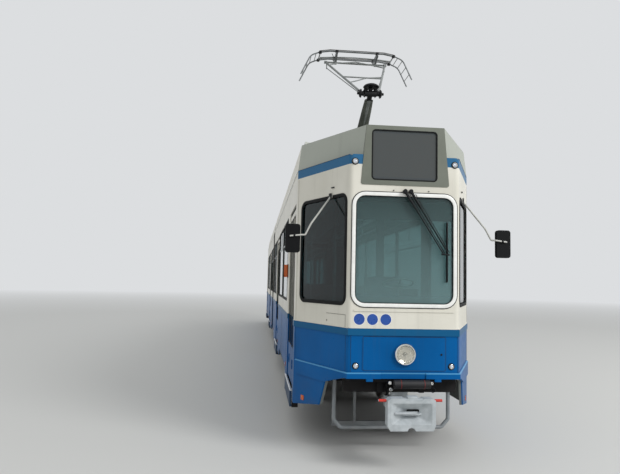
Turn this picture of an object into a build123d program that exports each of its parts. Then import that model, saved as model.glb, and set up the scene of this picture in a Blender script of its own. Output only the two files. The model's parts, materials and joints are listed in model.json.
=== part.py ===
from build123d import *
from math import hypot
import os

# A two-section articulated metre-gauge tram, in millimetres. While it is built, a station is
# a distance back from the body's front face, and a height is measured above the rail top.
# X points to the tram's left. The rear section is the mirror image of the front one.

# Body
body_length = 20740
body_half = 1100
nose_half = 603
nose_depth = 1066
nose_corner_radius = 60
wall_thickness = 40
skirt_bottom = 390
valance_bottom = 869
band_bottom = 779
eaves = 3270
fascia_lean = 40
roof_top = 3600
ceiling = 3080
ceiling_edge = 2980
roof_skin = 60
seam = 0.3
moulding_bottom = 1320
moulding_top = 1394
moulding_stand = 10
bumper_top = 932
bumper_bottom = 765
bumper_stand = 20
bumper_slope = 12
section_gap_half = 300
skirt_cut_half = 1300
skirt_cut_top = 540
skirt_start = 412

# Floor and underframe
floor_top = 870
floor_thickness = 40
sill_height = 130
sill_width = 90
portal_depth = 40
portal_half = 450
portal_top = 2900
turntable_radius = 520
turntable_gap = 20
tongue_half = 240
tongue_thickness = 50

# Running gear
flange_depth = 25
wheel_radius = 330
wheelbase = 1800
wheel_inner_face = 468
wheel_width = 105
flange_width = 27
axle_radius = 65
journal_radius = 50
journal_end = 700
journal_clearance = 0.3
bogie_station = 4270
beam_x = 680
beam_width = 80
beam_height = 130
bogie_half_length = 1345

# Windows and doors
window_bottom = 1580
window_top = 2870
window_radius = 90
glass_thickness = 8
glass_inset = 10
windscreen_half = 548
windscreen_bottom = 1634
windscreen_top = 2846
windscreen_radius = 110
cab_window_start = 75
cab_window_end = 1040
cab_window_bottom = 1650
cab_window_top = 2835
first_door_start = 1266
door_width = 1268
door_bottom = 520
door_top = 2870
leaf_thickness = 35
leaf_face_inset = 15
leaf_edge_gap = 3
leaf_meeting_gap = 9
hinge_offset = 6
hinge_radius = 6
leaf_pane_bottom = 1000
leaf_pane_top = 2760
leaf_frame = 42
pivot_radius = 10
header_depth = 130
window_post = 80
door_post = 100
first_window_post = 420
last_window_post = 130
door_window_margin = 6

# Step wells and folding steps
tread_thickness = 20
lower_tread = 500
lower_tread_depth = 345
middle_tread = 685
middle_tread_depth = 285
step_hinge_inset = 15
step_hinge_height = 305
step_stand = 28
step_plate_thickness = 26
step_plate_top = 505
step_end_gap = 25

# Destination box, lamps, coupler and guards
box_half_top = 436
box_half_bottom = 492
box_bottom = 2940
box_depth = 320
box_stand = 6
box_corner_radius = 24
display_first_x = -369
display_last_x = 352
display_bottom = 3000
display_top = 3547
display_depth = 30
coupler_reach = 330
coupler_half = 246
coupler_bottom = 410
coupler_top = 730
coupler_axis = 570
coupler_head_depth = 110
handle_reach = 330
handle_height = 700
cover_x = 80
cover_half = 195
cover_height = 818
cover_radius = 46
guard_station = 530
guard_half = 668
guard_bottom = 235
guard_radius = 22
lifeguard_station = 1160
headlamp_x = 10
headlamp_radius = 117
headlamp_height = 1126
low_lamp_x = 520
low_lamp_height = 1000
low_lamp_radius = 40
high_lamp_x = 556
high_lamp_height = 3190
high_lamp_radius = 36
tail_lamp_x = 480
tail_lamp_height = 1130
tail_lamp_radius = 60
turn_lamp_station = 2750
turn_lamp_bottom = 1930
turn_lamp_top = 2140
turn_lamp_stand = 70
mirror_gap = 20
mirror_width = 164
mirror_bottom = 2192
mirror_top = 2507
mirror_root_station = 340
mirror_root_rise = 15

# Roof screens and boxes
screen_start = 1700
screen_height = 270
screen_inset = 115
screen_thickness = 25
screen_lean = 35
gear_after_pantograph = 1100

# Cab and seats
desk_top = 1400
desk_half = 480
driver_seat_back = 1080
driver_seat_height = 1250
driver_back_top = 1950
partition_start = 1170
partition_thickness = 30
partition_door = 600
partition_window_bottom = 1600
partition_window_top = 2700
seat_height = 1300
seat_pitch = 450
seat_width = 420
seat_wall_gap = 20

# Pantograph
panto_pivot_station = 3300
panto_pivot_height = 3860
knee_station = 2000
knee_height = 4650
head_station = 3350
head_height = 5635
strip_rise = 140
strip_half = 640
strip_pitch = 170
horn_half = 950
horn_drop = 290
apex_half = 515

# Each row: post before a side window, its share of the section's glazed length, doorway before it
WINDOW_BAYS = [
    (first_window_post, 0.3, 1),
    (window_post, 0.3, 0),
    (door_post, 0.2, 1),
    (window_post, 0.2, 0),
]
# One list for each side window. Each row: how far along the window a seat's back stands,
# 1 if it faces forward or -1, whether there are seats on the door side too
SEAT_ROWS = [
    [(0.12, -1, False), (0.62, 1, True)],
    [(0.06, -1, True), (0.64, 1, False)],
    [(0.23, -1, True), (0.97, 1, True)],
    [(0.60, -1, True)],
]
# Each row: distance from the centre line, whether the pole stands behind the doorway
POLES = [
    (-400, False),
    (-400, True),
    (330, True),
]
# Each row: first and last edge of a roof equipment box as shares of the gear deck, half width, height
ROOF_BOXES = [
    (0.05, 0.35, 620, 250),
    (0.41, 0.56, 560, 210),
    (0.64, 0.86, 640, 240),
]
# The same columns, for the rear section
REAR_ROOF_BOXES = [
    (0.35, 0.58, 600, 230),
]

half_length = body_length / 2
pivot_station = half_length
section_end = pivot_station - section_gap_half
inner_half = body_half - wall_thickness
strip_height = head_height + strip_rise
horn_bottom = head_height - horn_drop
gear_deck_start = panto_pivot_station + gear_after_pantograph
taper_slope = (body_half - nose_half) / nose_depth
taper_length = hypot(body_half - nose_half, nose_depth)
taper_out = (nose_depth / taper_length, -(body_half - nose_half) / taper_length)
floor_bottom = floor_top - floor_thickness
sill_bottom = floor_bottom - sill_height
leaf_outer_x = -(body_half - leaf_face_inset)
leaf_inner_x = leaf_outer_x + leaf_thickness
leaf_width = (door_width / 2 - leaf_meeting_gap) / 2
hinge_x = leaf_outer_x - hinge_offset
well_back = -(inner_half - lower_tread_depth - middle_tread_depth)
step_hinge_x = body_half - step_hinge_inset
step_outer_x = body_half + step_stand
mirror_inner = body_half + mirror_gap
mirror_outer = mirror_inner + mirror_width
mirror_root_height = cab_window_top + mirror_root_rise
axle_height = wheel_radius


def lay_out_side():
    """Stations of a section's side windows and doorways, one after the other."""
    posts = sum(post for post, share, has_door in WINDOW_BAYS) + last_window_post
    doors = sum(has_door for post, share, has_door in WINDOW_BAYS) * door_width
    before_second_door = window_post
    glazed = section_end - first_door_start - posts - doors - before_second_door
    windows = []
    doorways = []
    station = first_door_start
    for post, share, has_door in WINDOW_BAYS:
        if has_door:
            station += before_second_door if doorways else 0
            doorways.append(station)
            station += door_width
        start = station + post
        station = start + share * glazed
        windows.append((start, station))
    return windows, doorways


# Each row: first station, last station of a side window, on both sides of a section
SIDE_WINDOWS, DOORWAYS = lay_out_side()
# Each row: the same, of a window where the closed side has no door
CLOSED_SIDE_WINDOWS = [
    (start - door_window_margin, start + door_width + door_window_margin) for start in DOORWAYS
]


def block(x0, x1, y0, y1, z0, z1):
    """A solid between two opposite corners."""
    return Pos((x0 + x1) / 2, (y0 + y1) / 2, (z0 + z1) / 2) * Box(x1 - x0, y1 - y0, z1 - z0)


def bar_x(x0, x1, y, z, radius):
    """A round bar across the tram."""
    return Pos((x0 + x1) / 2, y, z) * Rot(0, 90, 0) * Cylinder(radius, x1 - x0)


def bar_y(x, y0, y1, z, radius):
    """A round bar along the tram."""
    return Pos(x, (y0 + y1) / 2, z) * Rot(90, 0, 0) * Cylinder(radius, y1 - y0)


def bar_z(x, y, z0, z1, radius):
    """An upright round bar."""
    return Pos(x, y, (z0 + z1) / 2) * Cylinder(radius, z1 - z0)


def plan_prism(points, z0, z1):
    """A solid that stands on an outline in plan."""
    face = make_face(Polyline(*[(x, y, z0) for x, y in points], close=True))
    return extrude(face, amount=z1 - z0, dir=(0, 0, 1))


def side_prism(points, x0, x1):
    """A solid whose outline is given as stations and heights."""
    face = make_face(Polyline(*[(x0, y, z) for y, z in points], close=True))
    return extrude(face, amount=x1 - x0, dir=(1, 0, 0))


def front_prism(points, y0, y1):
    """A solid whose outline is given across the tram and in height."""
    face = make_face(Polyline(*[(x, y0, z) for x, z in points], close=True))
    return extrude(face, amount=y1 - y0, dir=(0, 1, 0))


def panel(plane, width, height, radius, depth):
    """A slab with rounded corners, centred on a plane."""
    return extrude(plane * RectangleRounded(width, height, radius), amount=depth / 2, both=True)


def side_panel(x, y0, y1, z0, z1, radius, depth):
    """A rounded slab lying in a side wall."""
    plane = Plane(origin=(x, (y0 + y1) / 2, (z0 + z1) / 2), x_dir=(0, 1, 0), z_dir=(1, 0, 0))
    return panel(plane, y1 - y0, z1 - z0, radius, depth)


def front_panel(y, x0, x1, z0, z1, radius, depth):
    """A rounded slab lying in an end wall."""
    plane = Plane(origin=((x0 + x1) / 2, y, (z0 + z1) / 2), x_dir=(1, 0, 0), z_dir=(0, -1, 0))
    return panel(plane, x1 - x0, z1 - z0, radius, depth)


def tube(points, radius, bend):
    """A round tube along straight runs with rounded bends."""
    path = FilletPolyline(*points, radius=bend)
    start = path ^ 0
    return sweep(start * Circle(radius), path=path)


def strut(start, end, radius):
    """A straight round tube between two points."""
    path = Line(start, end)
    return sweep((path ^ 0) * Circle(radius), path=path)


def mirrored(shapes):
    """The rear section's copy of shapes built for the front section."""
    about = Plane(origin=(0, pivot_station, 0), z_dir=(0, 1, 0))
    return [mirror(shape, about=about) for shape in shapes]


def both_sides(shape):
    """A shape and its image on the tram's other side."""
    return [shape, mirror(shape, about=Plane.YZ)]


def save(name, shapes):
    """Write one piece, with the origin under the articulation at the flanges' lowest points."""
    solids = [solid for shape in shapes for solid in shape.solids()]
    placed = Pos(0, -half_length, flange_depth) * Compound(children=solids)
    export_step(placed, os.path.join("parts", name + ".step"))


def taper_x(station, inset=0.0):
    """Half width of the tapered end at a station, inside the outer face by inset."""
    return nose_half + taper_slope * station - inset * taper_length / nose_depth


def nose_plan(inset, first, last):
    """Plan outline of the tapered end."""
    near = taper_x(first, inset)
    far = taper_x(last, inset)
    return [(-near, first), (near, first), (far, last), (-far, last)]


def taper_panel(side, along0, along1, z0, z1, radius, depth, out):
    """A rounded slab lying in a taper panel, placed by distances along it."""
    middle = (along0 + along1) / 2 / taper_length
    x = nose_half + (body_half - nose_half) * middle + taper_out[0] * out
    y = nose_depth * middle + taper_out[1] * out
    normal = (side * taper_out[0], taper_out[1], 0)
    along = (side * (body_half - nose_half) / taper_length, nose_depth / taper_length, 0)
    plane = Plane(origin=(side * x, y, (z0 + z1) / 2), x_dir=along, z_dir=normal)
    return panel(plane, along1 - along0, z1 - z0, radius, depth)


def destination_solid(clearance, first, last, top):
    """The destination box as a solid with rounded lower corners, or the hole for it."""
    outline = [
        (-box_half_bottom - clearance, box_bottom - clearance),
        (box_half_bottom + clearance, box_bottom - clearance),
        (box_half_top + clearance, top),
        (-box_half_top - clearance, top),
    ]
    solid = front_prism(outline, first, last)
    corners = solid.edges().filter_by(Axis.Y).group_by(Axis.Z)[0]
    return fillet(corners, box_corner_radius + clearance)


# Body shell

def end_shell():
    """The tapered end: two taper panels, a flat front, windows cut, skirts shaped."""
    corner_x = nose_half
    shell = plan_prism(nose_plan(0, 0, nose_depth), skirt_bottom, eaves)
    corners = [
        edge for edge in shell.edges().filter_by(Axis.Z)
        if abs(abs(edge.center().X) - corner_x) < 1 and abs(edge.center().Y) < 1
    ]
    shell = fillet(corners, nose_corner_radius)
    hollow = nose_plan(wall_thickness, wall_thickness, nose_depth + wall_thickness)
    shell -= plan_prism(hollow, skirt_bottom - 1, eaves + 1)
    under = [
        (-100, skirt_bottom - 10),
        (-100, valance_bottom),
        (wall_thickness, valance_bottom),
        (skirt_start, band_bottom),
        (skirt_start + 110, skirt_bottom + 97),
        (nose_depth + 10, skirt_bottom - 2),
        (nose_depth + 10, skirt_bottom - 10),
    ]
    shell -= side_prism(under, -body_half - 10, body_half + 10)
    shell -= front_panel(0, -windscreen_half, windscreen_half, windscreen_bottom,
                         windscreen_top, windscreen_radius, 3 * wall_thickness)
    for side in (-1, 1):
        shell -= taper_panel(side, cab_window_start, cab_window_end, cab_window_bottom,
                             cab_window_top, window_radius, 3 * wall_thickness, 0)
    shell -= destination_solid(seam, -100, box_depth + seam, roof_top + 10)
    return shell


def end_bands():
    """Bumper band and moulding around the tapered end."""
    bands = []
    bumper_end = nose_depth - 56
    # Each row: lower edge, upper edge, how far the band stands proud, how far round it runs
    for low, high, stand, last in (
        (bumper_bottom, bumper_top, bumper_stand, bumper_end),
        (moulding_bottom, moulding_top, moulding_stand, nose_depth),
    ):
        outer = plan_prism(nose_plan(-stand, -stand, last), low, high)
        if stand == bumper_stand:
            top = outer.faces().sort_by(Axis.Z)[-1]
            front_edges = [edge for edge in top.edges() if edge.center().Y < last - 1]
            outer = chamfer(front_edges, bumper_slope)
        inner = plan_prism(nose_plan(0, 0, last + 1), low - 1, high + 1)
        bands.append(outer - inner)
    under = [
        (-bumper_stand - 1, bumper_bottom - 1),
        (-bumper_stand - 1, valance_bottom),
        (wall_thickness, valance_bottom),
        (skirt_start, bumper_bottom - 1),
    ]
    centre = block(-250, 240, -bumper_stand - 1, -bumper_stand / 3, valance_bottom - 1, bumper_top + 1)
    bands[0] = bands[0] - side_prism(under, -body_half, body_half) - centre
    return bands


def end_body():
    """An end of the body with its bumper band and moulding."""
    shell = end_shell()
    for band in end_bands():
        shell += band
    return shell


def cab_body():
    """The front end, with its hatch and the ledge under the windscreen."""
    shell = end_body()
    shell += front_panel(-2, -450, 460, 954, 1305, 22, 4)
    shell += block(-windscreen_half, windscreen_half, -8, 1, 1573, 1592)
    return [shell]


def side_wall(side, doorways, windows):
    """One side wall with its skirt, window and door openings and moulding."""
    x0, x1 = sorted((side * inner_half, side * body_half))
    wall = block(x0, x1, nose_depth + seam, section_end, skirt_bottom, eaves)
    stand0, stand1 = sorted((side * (body_half - 1), side * (body_half + moulding_stand)))
    wall += block(stand0, stand1, nose_depth + seam, section_end, moulding_bottom, moulding_top)
    for centre in (bogie_station, pivot_station):
        cut = [
            (centre - skirt_cut_half, skirt_bottom - 1),
            (centre - skirt_cut_half + 150, skirt_cut_top),
            (centre + skirt_cut_half - 150, skirt_cut_top),
            (centre + skirt_cut_half, skirt_bottom - 1),
        ]
        wall -= side_prism(cut, -body_half - 20 if side < 0 else 0, 0 if side < 0 else body_half + 20)
    for first, last in windows:
        wall -= side_panel(side * body_half, first, last, window_bottom, window_top,
                           window_radius, 4 * wall_thickness)
    for start in doorways:
        end = start + door_width
        wall -= block(x0 - 30, x1 + 30, start, end, skirt_bottom - 1, door_top + 12)
    return [wall]


def roof():
    """Roof with leaning fascias, a hollow between skin and ceiling, and the tapered front."""
    top_half = body_half - fascia_lean
    outline = [
        (-body_half, eaves + seam),
        (-top_half, roof_top),
        (top_half, roof_top),
        (body_half, eaves + seam),
        (inner_half - seam, eaves + seam),
        (inner_half - seam, ceiling_edge),
        (inner_half - 220, ceiling),
        (-inner_half + 220, ceiling),
        (-inner_half + seam, ceiling_edge),
        (-inner_half + seam, eaves + seam),
    ]
    body = front_prism(outline, nose_depth + wall_thickness, section_end)
    void_half = inner_half - 220
    void = block(-void_half, void_half, nose_depth + 200, section_end + 1,
                 ceiling + roof_skin, roof_top - roof_skin)
    body -= void
    low = [(-box_half_top, 0), (box_half_top, 0), (body_half, nose_depth), (-body_half, nose_depth)]
    high = [(-box_half_top, 0), (box_half_top, 0), (top_half, nose_depth), (-top_half, nose_depth)]
    low_face = make_face(Polyline(*[(x, y, eaves + seam) for x, y in low], close=True))
    high_face = make_face(Polyline(*[(x, y, roof_top) for x, y in high], close=True))
    front = loft([low_face, high_face], ruled=True)
    join = front_prism(outline[:4], nose_depth, nose_depth + wall_thickness)
    front += join
    front -= destination_solid(seam, -100, box_depth + seam, roof_top + 10)
    return body + front


def roof_fairings():
    """Low screens along both edges of the front section's roof, and one across it."""
    foot = body_half - screen_inset
    top = roof_top + screen_height
    first = screen_start
    sloped_end = first + screen_height - 10
    screens = []
    for side in (-1, 1):
        outline = [
            (side * foot, roof_top),
            (side * (foot - screen_lean), top),
            (side * (foot - screen_lean - screen_thickness), top),
            (side * (foot - screen_thickness), roof_top),
        ]
        screen = front_prism(outline, first, section_end - 300)
        cut = [(first - 10, roof_top + 60), (first - 10, top + 30), (sloped_end, top + 30)]
        x0, x1 = sorted((side * (foot - 85), side * (foot + 15)))
        screens.append(screen - side_prism(cut, x0, x1))
    cross = [
        (first + 27, roof_top),
        (first + 27, roof_top + 60),
        (sloped_end, top),
        (sloped_end + 30, top),
        (first + 57, roof_top + 60),
        (first + 57, roof_top),
    ]
    half = foot - screen_lean - screen_thickness / 2
    screens.append(side_prism(cross, -half, half))
    return screens


def roof_gear(boxes):
    """Resistor and converter boxes on the roof, each on feet."""
    gear = []
    deck = section_end - gear_deck_start
    for near, far, half, height in boxes:
        first = gear_deck_start + near * deck
        last = gear_deck_start + far * deck
        case = block(-half, half, first, last, roof_top + 50, roof_top + 50 + height)
        case = chamfer(case.edges().group_by(Axis.Z)[-1], 30)
        for x in (-half + 80, half - 80):
            for y in (first + 120, last - 120):
                case += block(x - 40, x + 40, y - 30, y + 30, roof_top, roof_top + 51)
        gear.append(case)
    return gear


def floor_outline():
    """Plan of the floor plate, from the tapered end to the articulation."""
    inset = wall_thickness + seam
    near = taper_x(inset, inset)
    return [
        (-near, inset),
        (near, inset),
        (inner_half - seam, nose_depth + 10),
        (inner_half - seam, section_end),
        (-inner_half + seam, section_end),
        (-inner_half + seam, nose_depth + 10),
    ]


def underframe(tongue_top, has_turntable):
    """Floor plate with sills, bolster, end portal and articulation tongue, then the step wells."""
    frame = plan_prism(floor_outline(), floor_bottom, floor_top)
    sill_x = inner_half - seam - sill_width
    for side in (-1, 1):
        x0, x1 = sorted((side * sill_x, side * (sill_x + sill_width)))
        frame += block(x0, x1, nose_depth + 40, section_end, sill_bottom, floor_bottom + 1)
        c0, c1 = sorted((side * 200, side * 260))
        frame += block(c0, c1, 120, section_end, sill_bottom, floor_bottom + 1)
    beside_doors = [start - 120 for start in DOORWAYS] + [start + door_width + 120 for start in DOORWAYS]
    for station in [200, bogie_station, section_end - 60] + beside_doors:
        width = 160 if station == bogie_station else 40
        half = min(inner_half, taper_x(station - width, wall_thickness)) - 10
        frame += block(-half, half, station - width, station + width, sill_bottom, floor_bottom + 1)
    # Recesses that the step wells hang in
    wells = []
    edge = tread_thickness + seam
    for start in DOORWAYS:
        end = start + door_width
        frame -= block(-inner_half - 10, well_back + edge, start - edge, end + edge,
                       sill_bottom - 1, floor_top + 1)
        wells.append(step_well(start, end))
    # End portal
    portal = block(-inner_half + seam, inner_half - seam, section_end - portal_depth, section_end,
                   floor_bottom, ceiling_edge - seam)
    portal -= block(-portal_half, portal_half, section_end - portal_depth - 1, section_end + 1,
                    floor_top, portal_top)
    frame += portal
    # Articulation tongue
    tongue_bottom = tongue_top - tongue_thickness
    frame += block(-tongue_half, tongue_half, section_end - 200, pivot_station, tongue_bottom, tongue_top)
    frame += bar_z(0, pivot_station, tongue_bottom, tongue_top, tongue_half)
    if has_turntable:
        bridge_half = (turntable_radius ** 2 - section_gap_half ** 2) ** 0.5
        frame += block(-bridge_half, bridge_half, section_end - 1, pivot_station, floor_bottom, floor_top)
        frame += bar_z(0, pivot_station, floor_bottom, floor_top, turntable_radius)
    else:
        frame -= bar_z(0, pivot_station, tongue_top + 5, floor_top + 1, turntable_radius + turntable_gap)
    return [frame] + wells


def step_well(start, end):
    """A well folded from plate: two treads and risers, side cheeks and step hangers."""
    outer = -inner_half + seam
    lower_back = -(inner_half - lower_tread_depth)
    t = tread_thickness
    outline = [
        (outer, lower_tread),
        (lower_back, lower_tread),
        (lower_back, middle_tread),
        (well_back, middle_tread),
        (well_back, floor_top),
        (well_back + t, floor_top),
        (well_back + t, middle_tread - t),
        (lower_back + t, middle_tread - t),
        (lower_back + t, lower_tread - t),
        (outer, lower_tread - t),
    ]
    well = front_prism(outline, start - t, end + t)
    cheek = [
        (outer, lower_tread - t),
        (lower_back + t, lower_tread - t),
        (lower_back + t, middle_tread - t),
        (well_back + t, middle_tread - t),
        (well_back + t, floor_top),
        (outer, floor_top),
    ]
    well += front_prism(cheek, start - t, start)
    well += front_prism(cheek, end, end + t)
    # Hangers that carry the folding step's pins
    for y0 in (start + 8, end - 8 - 14):
        well += block(-step_hinge_x - 14, -inner_half + 40, y0, y0 + 14,
                      step_hinge_height - 14, lower_tread - t + 1)
    return well


def folding_step(start, end):
    """A tread plate that folds up in front of the step well, with its hinge arms."""
    y0 = start + step_end_gap
    y1 = end - step_end_gap
    plate = block(-step_outer_x, -step_outer_x + step_plate_thickness, y0, y1,
                  step_hinge_height + 5, step_plate_top)
    nosing = bar_y(-step_outer_x + 8, y0, y1, step_plate_top, 9)
    step = plate + nosing
    for hub0, hub1 in ((y0 - 2.7, y0 + 60), (y1 - 60, y1 + 2.7)):
        step += bar_y(-step_hinge_x, hub0, hub1, step_hinge_height, 13)
        step += block(-step_outer_x, -step_hinge_x, hub0, hub1,
                      step_hinge_height - 8, step_hinge_height + 8)
    return [step]


# Glass

def side_glass(side, windows):
    """Panes of one side wall."""
    x = side * (body_half - glass_inset - glass_thickness / 2)
    panes = []
    for first, last in windows:
        panes.append(side_panel(x, first + seam, last - seam, window_bottom + seam,
                                window_top - seam, window_radius - seam, glass_thickness))
    return panes


def end_glass():
    """Windscreen and the two taper panes."""
    y = glass_inset + glass_thickness / 2
    half = windscreen_half - seam
    panes = [front_panel(y, -half, half, windscreen_bottom + seam, windscreen_top - seam,
                         windscreen_radius - seam, glass_thickness)]
    for side in (-1, 1):
        panes.append(taper_panel(side, cab_window_start + seam, cab_window_end - seam,
                                 cab_window_bottom + seam, cab_window_top - seam,
                                 window_radius - seam, glass_thickness,
                                 -glass_inset - glass_thickness / 2))
    return panes


# Front fittings

def destination_box():
    """Housing of the destination display with a recessed window."""
    case = destination_solid(0, -box_stand, box_depth, roof_top)
    radius = 36
    back = display_depth + 8
    case -= front_panel(-box_stand, display_first_x, display_last_x, display_bottom, display_top,
                        radius, 2 * (back + box_stand))
    display = front_panel(back - display_depth / 2 - seam, display_first_x + seam, display_last_x - seam,
                          display_bottom + seam, display_top - seam, radius - seam, display_depth)
    return [case, display]


def lamp(x, height, radius, face, reach):
    """A round lamp with a rim and a domed lens, on the end wall."""
    rim = bar_y(x, face - reach, face - seam, height, radius)
    rim -= bar_y(x, face - reach - 1, face - reach * 0.4, height, radius * 0.86)
    dome_radius = radius * 1.6
    dome = Pos(x, face - reach - radius * 0.12 + dome_radius, height) * Sphere(dome_radius)
    dome &= bar_y(x, face - reach - radius, face - reach * 0.4 - seam, height, radius * 0.86 - seam)
    return [rim, dome]


def turn_lamps():
    """A turn lamp on each side wall, on the post behind the first doorway."""
    outline = [
        (-body_half - seam, turn_lamp_station),
        (-body_half - turn_lamp_stand, turn_lamp_station),
        (-body_half - turn_lamp_stand + 20, turn_lamp_station + 45),
        (-body_half - seam, turn_lamp_station + 110),
    ]
    case = plan_prism(outline, turn_lamp_bottom, turn_lamp_top)
    return both_sides(chamfer(case.edges().group_by(Axis.Z)[-1], 8))


def front_lamps():
    """Headlamp on the hatch, marker lamps below and on the upper stripe."""
    lamps = lamp(headlamp_x, headlamp_height, headlamp_radius, -4, 42)
    for side in (-1, 1):
        lamps += lamp(side * low_lamp_x, low_lamp_height, low_lamp_radius, 0, 22)
        lamps += lamp(side * high_lamp_x, high_lamp_height, high_lamp_radius, 0, 22)
    return lamps + turn_lamps()


def rear_lamps():
    """Tail and stop lamps on the rear end."""
    lamps = []
    for side in (-1, 1):
        lamps += lamp(side * tail_lamp_x, tail_lamp_height, tail_lamp_radius, 0, 30)
        lamps += lamp(side * high_lamp_x, high_lamp_height, high_lamp_radius, 0, 30)
    return lamps + turn_lamps()


def coupler_head():
    """Cast head: funnel with a guide tongue, two lugs on top and a half-round notch below."""
    half = coupler_half
    face = -coupler_reach
    back = face + coupler_head_depth
    top = coupler_top - 20
    outline = [
        (-half, coupler_bottom + 50),
        (-half + 30, coupler_bottom),
        (half - 20, coupler_bottom),
        (half, coupler_bottom + 50),
        (half, top),
        (half - 30, coupler_top),
        (half - 120, coupler_top),
        (half - 140, top),
        (-half + 190, top),
        (-half + 170, coupler_top),
        (-half + 40, coupler_top),
        (-half, top),
    ]
    head = front_prism(outline, face, back)
    head -= bar_y(0, face - 1, back + 1, coupler_bottom - 6, 42)
    mouth = Pos(0, face - 1, coupler_axis + 8) * Rot(90, 0, 0) * RectangleRounded(2 * half - 70, 210, 24)
    throat = Pos(0, face + 84, coupler_axis) * Rot(90, 0, 0) * RectangleRounded(130, 54, 12)
    head -= loft([mouth, throat])
    tongue = block(-130, 130, face + 22, face + 90, coupler_axis - 8, coupler_axis + 8)
    head += chamfer(tongue.edges().filter_by(Axis.Z).group_by(Axis.Y)[0], 50)
    for x in (-half + 105, half - 75):
        rib = [(back - 1, top), (back + 110, coupler_axis + 60), (back - 1, coupler_axis + 60)]
        head += side_prism(rib, x - 9, x + 9)
    return head


def coupler():
    """Coupler with its shank, draw pocket, side handles and rolled cover."""
    face = -coupler_reach
    head = coupler_head()
    body = block(-150, 150, face + 100, face + 260, coupler_axis - 70, coupler_axis + 80)
    head += chamfer(body.edges().filter_by(Axis.Y), 30)
    head += block(-60, 60, face + 250, 300, coupler_axis - 50, coupler_axis + 60)
    head += block(-135, 135, 260, 340, coupler_axis - 50, coupler_axis + 70)
    head += block(-90, 90, 170, 230, coupler_axis + 30, sill_bottom - seam)
    for side in (-1, 1):
        x0, x1 = sorted((side * (coupler_half - 30), side * handle_reach))
        head += bar_x(x0, x1, face + 60, handle_height, 12)
    cover = bar_x(cover_x - cover_half, cover_x + cover_half, -40, cover_height, cover_radius)
    for x in (cover_x - 120, cover_x + 120):
        cover += block(x - 7, x + 7, -40, 110, cover_height - 25, floor_bottom - seam)
    return [head, cover]


def under_run_guard():
    """Bent tube guard under the front, with the lifeguard bar behind it."""
    top = floor_bottom - seam
    points = [
        (-guard_half, guard_station, top),
        (-guard_half, guard_station, guard_bottom + 90),
        (-guard_half + 80, guard_station, guard_bottom),
        (guard_half - 80, guard_station, guard_bottom),
        (guard_half, guard_station, guard_bottom + 90),
        (guard_half, guard_station, top),
    ]
    guard = tube(points, guard_radius, 45)
    first = lifeguard_station
    last = first + 25
    bar = block(-600, 600, first, last, 90, 150)
    for side in (-1, 1):
        x0, x1 = sorted((side * 300, side * 330))
        bar += block(x0, x1, first, last, 140, sill_bottom - seam)
    return [guard, bar]


def mirrors():
    """Rear-view mirrors on bent arms, one each side."""
    station = mirror_root_station
    height = mirror_root_height
    along = station / nose_depth * taper_length
    pad = taper_panel(-1, along - 28, along + 28, height - 28, height + 28, 12, 14, 7 + seam)
    start = (-taper_x(station) - taper_out[0] * 8, station + taper_out[1] * 8, height)
    middle = (mirror_bottom + mirror_top) / 2 + 40
    bend = (-mirror_inner + 55, 222, middle)
    points = [start, (-mirror_inner + 120, 236, middle + 130), bend, (-mirror_inner - 10, 222, middle)]
    arm = tube(points, 10, 25)
    head = block(-mirror_outer, -mirror_inner, 200, 250, mirror_bottom, mirror_top)
    head = fillet(head.edges().filter_by(Axis.Y), 30)
    return both_sides(pad + arm + head)


# Interior

def cab_interior():
    """Driver's desk, seat and the partition behind the cab."""
    desk_outline = [
        (110, floor_top),
        (110, desk_top),
        (260, desk_top + 80),
        (560, desk_top + 40),
        (600, desk_top - 70),
        (420, desk_top - 160),
        (420, floor_top),
    ]
    desk = side_prism(desk_outline, -desk_half, desk_half)
    back = driver_seat_back
    pan = driver_seat_height
    seat = block(-60, 60, back - 260, back - 160, floor_top, pan)
    seat += fillet(block(-240, 240, back - 430, back, pan, pan + 90).edges().filter_by(Axis.Z), 40)
    seat += block(-230, 230, back - 70, back, pan + 85, driver_back_top)
    near, far = partition_start, partition_start + partition_thickness
    door_edge = -inner_half + seam + partition_door
    wall = block(door_edge, inner_half - seam, near, far, floor_top, ceiling_edge - 5)
    for x0, x1 in ((40, inner_half - 120), (door_edge + 80, -60)):
        wall -= block(x0, x1, near - 10, far + 10, partition_window_bottom, partition_window_top)
    return [desk, seat, wall]


def seat_shell(x0, x1, station, facing):
    """One seat: a bent shell with a cushion, on a pedestal."""
    # Each row: distance behind the back's foot, height above the seat
    outline = [
        (0, 0),
        (-30, 10),
        (-470, 40),
        (-470, -10),
        (-20, -50),
        (60, -40),
        (140, 490),
        (90, 500),
    ]
    points = [(station + facing * y, seat_height + z) for y, z in outline]
    shell = side_prism(points, x0, x1)
    middle = (x0 + x1) / 2
    leg0, leg1 = sorted((station - facing * 260, station - facing * 180))
    shell += block(middle - 50, middle + 50, leg0, leg1, floor_top, seat_height)
    return shell


def seats():
    """Pairs of seats on the closed side and singles on the door side."""
    found = []
    wall = inner_half - seat_wall_gap
    for (start, end), rows in zip(SIDE_WINDOWS, SEAT_ROWS):
        for share, facing, door_side in rows:
            station = start + share * (end - start)
            edges = [wall - 10 - seat_width]
            if door_side:
                edges += [wall - 10 - seat_width - seat_pitch, -wall]
            found += [seat_shell(x0, x0 + seat_width, station, facing) for x0 in edges]
    return found


def handrails():
    """Grab poles from floor to ceiling beside the doorways."""
    rails = []
    for start in DOORWAYS:
        for x, behind in POLES:
            station = start + door_width + 70 if behind else start - 30
            rails.append(bar_z(x, station, floor_top, ceiling - seam, 17))
    return rails


def door_headers():
    """Boxes over the doorways that hold the door drives and the leaves' top pivots."""
    headers = []
    for start in DOORWAYS:
        end = start + door_width
        low = door_top - 20
        header = block(-inner_half + seam, -inner_half + header_depth, start - 60, end + 60,
                       low, ceiling_edge - seam)
        headers.append(header)
    return headers


# Doors

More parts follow.
